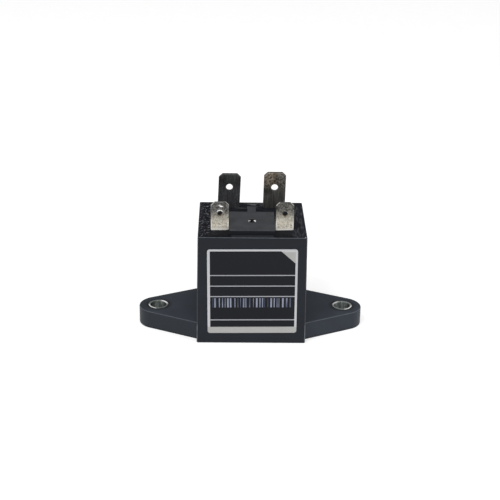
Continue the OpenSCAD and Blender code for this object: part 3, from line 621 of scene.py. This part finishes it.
def glints(look, u, v, from_hole):
    """Mask of the lights on the front face round a punched hole: an arc above it and two strokes.

    A stroke has a centre and half sizes in millimetres from the hole, and a strength."""
    strokes = (((0.45, 2.05), (0.50, 0.17), 0.9), ((-0.05, 2.35), (0.45, 0.18), 0.5))
    off_ring = look.size(look.minus(from_hole, 0.95 * MM))
    above = look.ramp(look.math("DIVIDE", v, from_hole), 0.45, 0.8)
    mask = look.times(look.span(off_ring, 0.14, 0.05), above)
    for centre, half, strength in strokes:
        across = look.math("DIVIDE", look.minus(u, centre[0] * MM), half[0] * MM)
        up = look.math("DIVIDE", look.minus(v, centre[1] * MM), half[1] * MM)
        spread = look.plus(look.times(across, across), look.times(up, up))
        mask = look.most(mask, look.ramp(spread, 1.3, 0.4, 0.0, strength))
    front = look.ramp(look.part(look.normal, "Y"), -0.3, -0.6)
    return look.times(mask, front, look.ramp(look.noise(0.4 * MM), 0.35, 0.5, 0.45, 0.92))


def load_tin(side, foot, tip, reach, stains, stain_size, cover, darkening):
    """Tin plate of a load tab, drawn lengthwise, with stained tip and bright edges.

    Its dark tone is tarnish and painted reflection; its edges are bright from wear and painted
    highlight.
    """
    low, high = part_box(f"load_tab_{side}")
    level = outline_at_top("potting_resin")[2]
    z_foot, z_tip = level + reach[0], level + reach[1]
    look = Look(f"load_tab_tin_{side}", Metallic=0.85)
    u = look.minus(look.axis("X"), (low.x + high.x) / 2)
    z = look.axis("Z")
    rise = look.ramp(z, z_foot, z_tip)
    lines = look.noise(0.22 * MM, detail=4, stretch=(1, 1, 0.06))
    patches = look.noise(stain_size, detail=6, roughness=0.72)
    gain = 1.7
    # Dark tin from foot to tip: tarnish, and painted reflection
    drawn = look.mix(rise, [gain * c for c in foot], [gain * c for c in tip])
    stain = look.times(look.ramp(patches, 0.40, 0.62), rise, cover)
    stain_tone = look.mix(look.span(u, -0.9, 0.0), stains[0], stains[1])
    stain_tone = look.mix(look.span(u, 0.6, 1.3), stain_tone, stains[2])
    tone = look.mix(look.ramp(lines, 0.4, 0.65), look.mix(rise, foot, tip), drawn)
    tone = look.mix(stain, tone, stain_tone)
    # Darker over the middle height, most at the left, and along the level edges
    if darkening:
        dark = look.times(
            look.ramp(z, z_foot - 2 * MM, z_foot), look.ramp(z, z_tip, z_foot),
            look.span(u, 0.0, -1.4, 0.3 * darkening, darkening),
        )
        dark = look.most(dark, look.times(look.level_edges(0.3, 0.8), darkening))
        tone = look.mix(dark, tone, (0.008, 0.007, 0.005))
    grit = look.noise(0.2 * MM)
    # Bright upright edges: wear, and painted highlight
    edge_wear_and_highlight = look.times(look.upright_edges(0.2, 0.7), look.ramp(grit, 0.42, 0.58))
    return look.set(
        Base_Color=look.mix(edge_wear_and_highlight, tone, (0.55, 0.54, 0.51)),
        Roughness=look.plus(look.vary(patches, 0.26, 0.34), look.times(stain, 0.2)),
        Normal=look.bump(lines, 0.002 * MM),
    )


def sleeve_steel():
    """Plated steel with painted light: highlight arcs on the lands, the right sleeve's land lighter.

    Inside the bores a dull grey-green painted reflection, with painted shade where their walls
    face sideways.
    """
    look = Look("sleeve_steel", Metallic=0.25, IOR=1.5, Specular_IOR_Level=0.4)
    side = look.along("X", -1, 1, -1.0, 1.0)
    right = look.ramp(side, -0.5, 0.5)
    x = look.minus(look.axis("X"), look.times(side, EAR_HOLE_X))
    y = look.axis("Y")
    out = look.length(x, y)
    # The painted highlight arcs lie at the outer front and the inner rear of each hole
    inward, rearward = -0.76, 0.65
    rear = look.plus(look.times(x, side, inward), look.times(y, rearward))
    dimmed = look.times(right, look.span(rear, 0.0, 1.0, 0.0, 0.45))
    arc = look.times(look.span(look.size(rear), 1.9, 2.3), look.minus(1.0, dimmed))
    lit = look.most(look.ramp(look.facing("Z"), 0.55, 0.7), look.span(out, 2.6, 2.7))
    patches = look.noise(0.5 * MM, detail=4)
    streaks = look.noise(0.6 * MM, detail=3, stretch=(1, 1, 0.2))
    # Painted reflection: grey-green streaks inside the bores
    bore = look.mix(look.ramp(streaks, 0.38, 0.62), (0.13, 0.15, 0.142), (0.33, 0.37, 0.35))
    # Painted shade where a bore's wall faces sideways, deeper in the left sleeve
    bore_shade = look.mix(right, (0.03, 0.036, 0.034), (0.07, 0.078, 0.076))
    # Painted light: the right sleeve's land lighter than the left's
    land = look.mix(right, (0.22, 0.235, 0.23), (0.36, 0.37, 0.375))
    tone = look.layers(
        bore,
        (look.ramp(look.facing("X"), 0.62, 0.95), bore_shade),
        (look.ramp(look.facing("Z"), 0.82, 0.95), land),
        (look.times(arc, lit), (0.98, 0.98, 0.98)),
    )
    return look.set(Base_Color=tone, Roughness=look.vary(patches, 0.3, 0.42))


def sealer():
    """Drop of clear sealer in the fill hole: black, with painted highlights at its flanks."""
    look = Look("sealer", IOR=1.5, Specular_IOR_Level=0.06)
    out = look.length(look.axis("X"), look.minus(look.axis("Y"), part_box("lid")[0].y + VENT_SETBACK))
    flank = look.times(look.ramp(look.facing("X"), 0.30, 0.44), look.span(out, 0.72, 0.82))
    mask = look.times(flank, look.along("X", -0.1, 0.1, 0.45, 1.0))
    tone = look.mix(mask, (0.004, 0.004, 0.005), (0.92, 0.92, 0.92))
    return look.set(Base_Color=tone, Roughness=look.ramp(flank, 0, 1, 0.12, 0.3))


def label_film():
    """Silver film of the label: bluish where lines and bars show it, brighter at its border.

    Painted shade darkens it towards its top.
    """
    look = Look("label_film", Metallic=0.2, IOR=1.5, Specular_IOR_Level=0.35)
    fleck = look.noise(0.25 * MM, detail=3)
    sheen = look.noise(5 * MM, detail=2)
    lines = look.times(look.along("Z", 5.8, 6.0), look.along("Z", 22.5, 22.3))
    bar_row = look.times(look.along("Z", 10.7, 10.8), look.along("Z", 13.8, 13.7))
    bars = look.times(look.beside("X", 11.2, 11.1), bar_row)
    blue = look.ramp(look.noise(0.8 * MM, detail=1, stretch=(1, 1, 0.06)), 0.42, 0.58)
    off_middle = look.size(look.minus(look.axis("X"), 0.2 * MM))
    sides = look.times(look.span(off_middle, 11.35, 11.45), look.along("Z", 4.9, 5.1))
    tone = look.layers(
        look.mix(look.ramp(fleck, 0.35, 0.65), (0.40, 0.405, 0.395), (0.455, 0.46, 0.45)),
        (look.ramp(sheen, 0.35, 0.65, 0, 0.35), (0.465, 0.465, 0.455)),
        (lines, (0.415, 0.425, 0.465)),
        (bars, look.mix(blue, (0.055, 0.070, 0.125), (0.285, 0.310, 0.400))),
        (look.most(sides, look.along("Z", 27.05, 27.2)), (0.575, 0.58, 0.60)),
        # Painted shade: the film darker towards its top
        (look.along("Z", 2, 26, 0.07, 0.17), (0.0, 0.0, 0.0)),
    )
    relief = look.bump(fleck, 0.004 * MM)
    return look.set(Base_Color=tone, Roughness=look.vary(sheen, 0.36, 0.46), Normal=relief)


def label_ink():
    """Black ink on the label, faintly flecked."""
    look = Look("label_ink", IOR=1.5, Specular_IOR_Level=0.16)
    fleck = look.noise(0.2 * MM, detail=3)
    tone = look.mix(look.vary(fleck), (0.0045, 0.0052, 0.0084), (0.0062, 0.0070, 0.0108))
    rough = look.vary(look.noise(3 * MM, detail=3), 0.34, 0.46)
    return look.set(Base_Color=tone, Roughness=rough, Normal=look.bump(fleck, 0.003 * MM))


# Meshes


def new_piece(name, mesh, material, body=HOUSING):
    """Visible piece made of a mesh and one material, riding on a body."""
    piece = bpy.data.objects.new(name, mesh)
    bpy.context.scene.collection.objects.link(piece)
    mesh.materials.clear()
    mesh.materials.append(material)
    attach(piece, body)
    return piece


def mesh_of(form, name):
    """New mesh with a form's faces. The form is freed."""
    mesh = bpy.data.meshes.new(name)
    form.to_mesh(mesh)
    form.free()
    return mesh


def soften(form, degrees):
    """Smooth faces, with sharp edges only where faces meet at the given angle or more."""
    for face in form.faces:
        face.smooth = True
    for edge in form.edges:
        edge.smooth = len(edge.link_faces) == 2 and edge.calc_face_angle() < math.radians(degrees)


def keep_flats(mesh, degrees):
    """Writes normals weighted by area, so that flat faces stay flat beside eased edges."""
    limit = math.cos(math.radians(degrees))
    around = {}
    for face in mesh.polygons:
        for index in face.vertices:
            around.setdefault(index, []).append((face.normal.copy(), face.area))
    normals = []
    for face in mesh.polygons:
        for index in face.vertices:
            total = Vector((0, 0, 0))
            for normal, area in around[index]:
                if normal.dot(face.normal) > limit:
                    total += normal * area
            normals.append(total.normalized())
    mesh.normals_split_custom_set(normals)


def dressed(node, name, material, bevel=0.0, smooth=40.0, body=HOUSING):
    """Own copy of a CAD node's form with joined faces, eased edges and smooth shading."""
    mesh = NODES[node].data.copy()
    mesh.name = name
    form = bmesh.new()
    form.from_mesh(mesh)
    bmesh.ops.remove_doubles(form, verts=form.verts, dist=WELD_GAP)
    bmesh.ops.dissolve_limit(
        form, angle_limit=math.radians(FLAT_ANGLE), verts=form.verts, edges=form.edges,
        delimit={"NORMAL"},
    )
    if bevel:
        sharp = [
            edge for edge in form.edges
            if len(edge.link_faces) == 2 and edge.calc_face_angle() > math.radians(smooth)
        ]
        bmesh.ops.bevel(
            form, geom=sharp, offset=bevel, segments=2, profile=0.5, affect="EDGES",
            clamp_overlap=True,
        )
    bmesh.ops.triangulate(form, faces=[face for face in form.faces if len(face.verts) > 4])
    soften(form, smooth)
    form.to_mesh(mesh)
    form.free()
    for extra in ("custom_normal", "sharp_face"):
        if extra in mesh.attributes:
            mesh.attributes.remove(mesh.attributes[extra])
    keep_flats(mesh, smooth)
    piece = new_piece(name, mesh, material, body)
    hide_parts(node)
    return piece


def springs(material):
    """Both springs as pieces of their own, each riding on the body that holds its node."""
    bodies = frame["record"]["behaviour"]["bodies"]
    for joint in frame["joints"]:
        for soft in joint["deforming_nodes"]:
            node = soft["node"]
            body = next(b for b, members in bodies.items() if node in members)
            name = node.replace("spring", "coil")
            coil = dressed(node, name, material, smooth=75.0, body=body)
            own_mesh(coil)


def outline_at_top(node):
    """Half width and half depth of a node's upper face, and its height."""
    slack = 0.01 * MM
    points = [vertex.co for vertex in NODES[node].data.vertices]
    top = max(p.z for p in points)
    level = [p for p in points if top - p.z < slack]
    return max(abs(p.x) for p in level), max(abs(p.y) for p in level), top


def tab_foot(node, level):
    """Rectangle that a tab's blade fills about a height, from its points there or else above it."""
    below, above = 1.5 * MM, 0.05 * MM
    points = [v.co for v in NODES[node].data.vertices if v.co.z > level - below]
    base = [p for p in points if p.z < level + above] or points
    return (
        (min(p.x for p in base), min(p.y for p in base)),
        (max(p.x for p in base), max(p.y for p in base)),
    )


def out_of(x, y, low, high):
    """Distance of a point outside a rectangle, negative within it."""
    dx = max(low[0] - x, x - high[0])
    dy = max(low[1] - y, y - high[1])
    if dx > 0 and dy > 0:
        return math.hypot(dx, dy)
    return max(dx, dy)


def into_corner(x, y, half_x, half_y):
    """Draws a point in to the rounded corners of the film on the rim."""
    dx = abs(x) - half_x + FILM_CORNER
    dy = abs(y) - half_y + FILM_CORNER
    far = math.hypot(dx, dy)
    if dx <= 0 or dy <= 0 or far <= FILM_CORNER:
        return x, y
    return (
        math.copysign(half_x - FILM_CORNER + dx * FILM_CORNER / far, x),
        math.copysign(half_y - FILM_CORNER + dy * FILM_CORNER / far, y),
    )


def scattered(draw, marks, last):
    """Marks at random places, each as x, y, a size and a last drawn value."""
    count, *spans = marks
    return [(*(draw.uniform(*span) * MM for span in spans), last()) for _ in range(count)]


def resin_marks(tab):
    """Bubbles with radius and sign, and wrinkles with length and angle.

    The last bubble is a pit before the left front corner of the given tab's foot."""
    draw = random.Random(7)

    def mostly_up():
        return draw.choice((1, 1, -1))

    def up_or_down():
        return draw.choice((1, -1))

    def slanting():
        return draw.gauss(math.radians(38), 0.35)

    def crosswise():
        return draw.gauss(0, 0.12)

    bubbles = scattered(draw, LEFT_BUBBLES, mostly_up) + scattered(draw, FAR_BUBBLES, up_or_down)
    bubbles.append((tab[0][0] - 0.7 * MM, tab[0][1] - 0.9 * MM, 0.5 * MM, -1))
    wrinkles = scattered(draw, LEFT_WRINKLES, slanting) + scattered(draw, REAR_WRINKLES, crosswise)
    return bubbles, wrinkles


def climb_height(x, y, feet):
    """Height that the resin climbs at a point beside the T and the tabs."""
    total = 0.0
    for (low, high), (rise, reach), extra in feet:
        d = out_of(x, y, low, high)
        if d < CLIMB_END:
            part = min(max((x - low[0]) / (high[0] - low[0]), 0), 1)
            total += (rise + extra * part) * math.exp(-max(d, 0) / reach)
    return total


def bubble_height(x, y, bubbles):
    """Height that domes and pits of bubbles, with their raised rings, add at a point."""
    total = 0.0
    for bubble_x, bubble_y, r, sign in bubbles:
        d = math.hypot(x - bubble_x, y - bubble_y) / r
        if d < BUBBLE_REACH:
            dome = sign * BUBBLE_DOME * r * math.exp(-2.2 * d * d)
            ring = BUBBLE_RING * r * math.exp(-9 * (d - 1) ** 2)
            total += dome + ring
    return total


def wrinkle_height(x, y, wrinkles):
    """Height that the ridges of the wrinkles add at a point."""
    total = 0.0
    for wrinkle_x, wrinkle_y, length, angle in wrinkles:
        dx, dy = x - wrinkle_x, y - wrinkle_y
        u = dx * math.cos(angle) + dy * math.sin(angle)
        v = dy * math.cos(angle) - dx * math.sin(angle)
        if abs(u) < 2 * length and abs(v) < WRINKLE_REACH:
            total += WRINKLE_H * math.exp(-(u / length) ** 2 * 3 - (v / WRINKLE_W) ** 2)
    return total


def closed_below(form, bottom):
    """Closes an open skin with upright walls and a flat underside."""
    rim = [edge for edge in form.edges if len(edge.link_faces) == 1]
    for item in bmesh.ops.extrude_edge_only(form, edges=rim)["geom"]:
        if isinstance(item, bmesh.types.BMVert):
            item.co.z = bottom
    loops = [edge for edge in form.edges if len(edge.link_faces) == 1]
    bmesh.ops.triangle_fill(form, edges=loops, use_beauty=True, normal=(0, 0, -1))
    bmesh.ops.recalc_face_normals(form, faces=form.faces)


def resin_skin(material):
    """Surface of the resin: a film on the rim, climbs at walls, T and tabs, waves and marks."""
    pool_x, pool_y, level = outline_at_top("potting_resin")
    rim_x, rim_y, rim = outline_at_top("case")
    wall_x, wall_y = pool_x + WALL_OUT, pool_y + WALL_OUT
    out_x, out_y = rim_x - FILM_INSET, rim_y - FILM_INSET
    film = rim - level + FILM_T
    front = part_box("lid")[0].y + BOSS_SETBACK
    boss = ((-BOSS_HALF, front), (BOSS_HALF, front + BOSS_LEN))
    neck = ((-NECK_HALF, front + BOSS_LEN), (NECK_HALF, front + BOSS_LEN + NECK_LEN))
    names = ("coil_tab_left", "coil_tab_right", "load_tab_left", "load_tab_right")
    tabs = {name: tab_foot(name, level) for name in names}
    feet = [(boss, BOSS_CLIMB, 0.0), (neck, BOSS_CLIMB, 0.0)]
    feet += [(foot, TAB_CLIMB, TAB_CLIMB_EXTRA.get(name, 0.0)) for name, foot in tabs.items()]
    bubbles, wrinkles = resin_marks(tabs["coil_tab_left"])

    def height(x, y):
        """Height of the skin over the resin's level at a point."""
        wall = min(wall_x - abs(x), wall_y - abs(y))
        h = film * math.exp(-max(wall, 0) / WALL_REACH) + climb_height(x, y, feet)
        for wave, length, layer in WAVES:
            h += wave * noise.noise(Vector((x, y, layer)) / length)
        h += bubble_height(x, y, bubbles) + wrinkle_height(x, y, wrinkles)
        return max(h, film) if wall < FILM_REACH else h

    nx = round(2 * out_x / SKIN_STEP)
    ny = round(2 * out_y / SKIN_STEP)
    form = bmesh.new()
    grid = {}
    for i in range(nx + 1):
        for j in range(ny + 1):
            x, y = 2 * out_x * i / nx - out_x, 2 * out_y * j / ny - out_y
            x, y = into_corner(x, y, out_x, out_y)
            grid[i, j] = form.verts.new((x, y, level + height(x, y)))
    for i in range(nx):
        for j in range(ny):
            x = 2 * out_x * (i + 0.5) / nx - out_x
            y = 2 * out_y * (j + 0.5) / ny - out_y
            if min(out_of(x, y, *foot) for foot, _, _ in feet) >= -SKIN_OVERLAP:
                form.faces.new((grid[i, j], grid[i + 1, j], grid[i + 1, j + 1], grid[i, j + 1]))
    bmesh.ops.delete(form, geom=[v for v in form.verts if not v.link_faces], context="VERTS")
    closed_below(form, level - SKIN_T)
    soften(form, 60)
    return new_piece("resin_surface", mesh_of(form, "resin_surface"), material)


def turned(form, profile, centre):
    """Closed ring turned from a profile of radius and height, given anticlockwise."""
    steps = 48
    rings = []
    for i in range(steps):
        turn = 2 * math.pi * i / steps
        x, y = math.cos(turn), math.sin(turn)
        rings.append([form.verts.new((centre[0] + r * x, centre[1] + r * y, z)) for r, z in profile])
    for i in range(steps):
        here, there = rings[i], rings[(i + 1) % steps]
        for j in range(len(profile)):
            k = (j + 1) % len(profile)
            form.faces.new((here[j], there[j], there[k], here[k]))


def vent_seal():
    """Sealer that lines the countersink of the fill hole down to the bore, a little bulged."""
    low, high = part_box("lid")
    r_out, r_in = VENT_SINK / 2, VENT_BORE / 2
    sink = r_out - r_in
    steps = 8
    slope = []
    for i in range(steps + 1):
        t = i / steps
        bulge = SEAL_BULGE * math.sin(math.pi * t)
        slope.append((r_out - sink * t - SEAL_INSET, high.z - sink * t + SEAL_LIFT + bulge))
    back = [(r_in - SEAL_INSET, high.z - sink - SEAL_INNER_T), (r_out, high.z - SEAL_OUTER_T)]
    form = bmesh.new()
    turned(form, slope + back, (0.0, low.y + VENT_SETBACK))
    bmesh.ops.recalc_face_normals(form, faces=form.faces)
    soften(form, 180)
    return new_piece("vent_seal", mesh_of(form, "vent_seal"), sealer())


def label_place():
    """Matrix from the label's own plane, x right, y up, z out, in metres from its centre."""
    low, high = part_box("label")
    lean = Matrix.Rotation(-LABEL_DRAFT, 4, "X")
    turn = Matrix.Rotation(-LABEL_TURN, 4, "Y")
    stand = Matrix.Rotation(math.radians(90), 4, "X")
    return Matrix.Translation((low + high) / 2) @ lean @ turn @ stand


def prism(form, outline, low, high):
    """Closed prism over a flat outline given anticlockwise."""
    lower = [form.verts.new((x, y, low)) for x, y in outline]
    upper = [form.verts.new((x, y, high)) for x, y in outline]
    form.faces.new(upper)
    form.faces.new(lower[::-1])
    for i in range(len(outline)):
        k = (i + 1) % len(outline)
        form.faces.new((lower[i], lower[k], upper[k], upper[i]))


def label_print():
    """Black print of the label: panels between silver lines, and a plain row of bars."""
    left, right = PRINT_LEFT, PRINT_RIGHT
    bar_top, bar_bottom = BAR_ROW
    corner_w, corner_h = PRINT_CORNER
    form = bmesh.new()

    def panel(points):
        """Black panel with the given corners, in millimetres, anticlockwise."""
        flat = [(x * MM - LABEL_W / 2, LABEL_H / 2 - y * MM) for x, y in points]
        prism(form, flat, LABEL_T / 2 - INK_SUNK, LABEL_T / 2 + INK_T)

    def box(x0, y0, x1, y1):
        """Black rectangle between two corners."""
        panel([(x0, y1), (x1, y1), (x1, y0), (x0, y0)])

    top, low = PRINT_ROWS[0]
    panel([(left, low), (right, low), (right, top + corner_h), (right - corner_w, top), (left, top)])
    for y0, y1 in PRINT_ROWS[1:]:
        box(left, y0, right, y1)
    box(left, BAR_PANEL[0], right, bar_top)
    box(left, bar_bottom, right, BAR_PANEL[1])
    x = left
    end = left + BAR_MARGIN
    step = 0
    while end < right - BAR_MARGIN:
        box(x, bar_top, end, bar_bottom)
        silver = (1 + (step * 5 + step // 3) % 3) * BAR_MODULE
        black = (2 + (step * 7 + step // 4) % 4) * BAR_MODULE
        x = end + silver
        end = x + black
        step += 1
    box(x, bar_top, right, bar_bottom)
    mesh = mesh_of(form, "label_print")
    mesh.transform(label_place())
    return new_piece("label_print", mesh, label_ink())


# Stage, light and camera


def floor():
    """Pale floor that holds the shadow and meets the white backdrop."""
    half = FLOOR_HALF
    corners = [(-half, -half), (half, -half), (half, half), (-half, half)]
    mesh = bpy.data.meshes.new("floor")
    mesh.from_pydata([(x, y, FLOOR_Z) for x, y in corners], [], [(0, 1, 2, 3)])
    piece = bpy.data.objects.new("floor", mesh)
    bpy.context.scene.collection.objects.link(piece)
    look = Look("floor_paper", Roughness=0.9, Specular_IOR_Level=0.0)
    fibres = look.vary(look.noise(8 * MM, detail=3))
    paper = look.mix(fibres, (0.84, 0.84, 0.84), (0.86, 0.86, 0.86))
    mesh.materials.append(look.set(Base_Color=paper))
    rays = look.add("ShaderNodeLightPath")
    seen = look.most(rays.outputs["Is Camera Ray"], rays.outputs["Is Glossy Ray"])
    seen = look.most(seen, rays.outputs["Is Transmission Ray"])
    glow = look.add("ShaderNodeEmission")
    look.link(look.times(seen, FLOOR_GLOW), glow.inputs["Strength"])
    both = look.add("ShaderNodeAddShader")
    look.link(look.main.outputs[0], both.inputs[0])
    look.link(glow.outputs[0], both.inputs[1])
    look.link(both.outputs[0], look.out.inputs["Surface"])


def world():
    """Even studio light, a white backdrop, and a dark flag low behind that keeps gloss black."""
    studio = bpy.data.worlds.new("studio")
    bpy.context.scene.world = studio
    studio.use_nodes = True
    graph = Graph(studio.node_tree)
    out = graph.add("ShaderNodeOutputWorld")
    background = graph.add("ShaderNodeBackground")
    rays = graph.add("ShaderNodeLightPath").outputs
    way = graph.add("ShaderNodeTexCoord").outputs["Generated"]
    behind = graph.ramp(graph.part(way, "Y"), 0.45, 0.75)
    low = graph.ramp(graph.part(way, "Z"), 0.5, 0.75, 1.0, 0.0)
    middle = graph.ramp(graph.size(graph.part(way, "X")), 0.22, 0.42, 1.0, 0.0)
    gloss = graph.minus(1.0, graph.times(behind, low, middle, FLAG_DEPTH))
    seen = graph.most(rays["Is Camera Ray"], rays["Is Transmission Ray"])
    level = graph.plus(graph.times(seen, 1.0 - AMBIENT), AMBIENT)
    glossy = graph.times(rays["Is Glossy Ray"], graph.minus(gloss, AMBIENT))
    graph.link(graph.plus(level, glossy), background.inputs["Strength"])
    graph.link(background.outputs[0], out.inputs["Surface"])


def lamp(name, place, power):
    """Round soft lamp turned to the part."""
    light = bpy.data.lights.new(name, "AREA")
    light.shape = "DISK"
    light.size = LAMP_SIZE
    light.energy = power
    holder = bpy.data.objects.new(name, light)
    bpy.context.scene.collection.objects.link(holder)
    holder.location = place
    holder.rotation_euler = (LAMP_TARGET - Vector(place)).to_track_quat("-Z", "Y").to_euler()


def camera():
    """Camera at the photograph's place."""
    data = bpy.data.cameras.new("camera")
    data.sensor_width = SENSOR_MM
    data.lens = FOCAL_PX / FRAME_PX * SENSOR_MM
    data.clip_start = CAMERA_CLIP
    holder = bpy.data.objects.new("camera", data)
    bpy.context.scene.collection.objects.link(holder)
    back = Vector((
        math.sin(CAMERA_AZIMUTH) * math.cos(CAMERA_ELEVATION),
        -math.cos(CAMERA_AZIMUTH) * math.cos(CAMERA_ELEVATION),
        math.sin(CAMERA_ELEVATION),
    ))
    side = Vector((0, 0, 1)).cross(back).normalized()
    up = back.cross(side)
    right = math.cos(CAMERA_ROLL) * side + math.sin(CAMERA_ROLL) * up
    top = math.cos(CAMERA_ROLL) * up - math.sin(CAMERA_ROLL) * side
    turn = Matrix((right, top, back)).transposed().to_4x4()
    holder.matrix_world = Matrix.Translation(CAMERA_TARGET + back * CAMERA_DISTANCE) @ turn
    bpy.context.scene.camera = holder


# The part

materials = inner_materials()
materials["case_plastic"] = case_plastic()
materials["lid_plastic"] = lid_plastic()
materials["epoxy"] = epoxy()
materials["label_film"] = label_film()
materials["sleeve_steel"] = sleeve_steel()

for part in frame["record"]["subparts"]:
    if part["material_slot"] in materials:
        for holder in NODES[part["node"]].material_slots:
            holder.material = materials[part["material_slot"]]

dressed("case", "case_shell", materials["case_plastic"], bevel=CASE_EASE)
dressed("lid", "lid_top", materials["lid_plastic"], bevel=LID_EASE)
for side, values in COIL_TINS.items():
    tin = coil_tin(side, **values)
    dressed(f"coil_tab_{side}", f"coil_blade_{side}", tin, bevel=TAB_EASE)
for side, values in LOAD_TINS.items():
    tin = load_tin(side, **values)
    dressed(f"load_tab_{side}", f"load_blade_{side}", tin, bevel=TAB_EASE)
for side in ("left", "right"):
    steel = materials["sleeve_steel"]
    dressed(f"sleeve_{side}", f"sleeve_ring_{side}", steel, bevel=CASE_EASE)
springs(materials["spring_steel"])
resin_skin(materials["epoxy"])
vent_seal()
label_print()

# Its surroundings

floor()
world()
for name, (place, power) in LAMPS.items():
    lamp(name, place, power)
camera()
bpy.context.scene.view_settings.view_transform = "Standard"
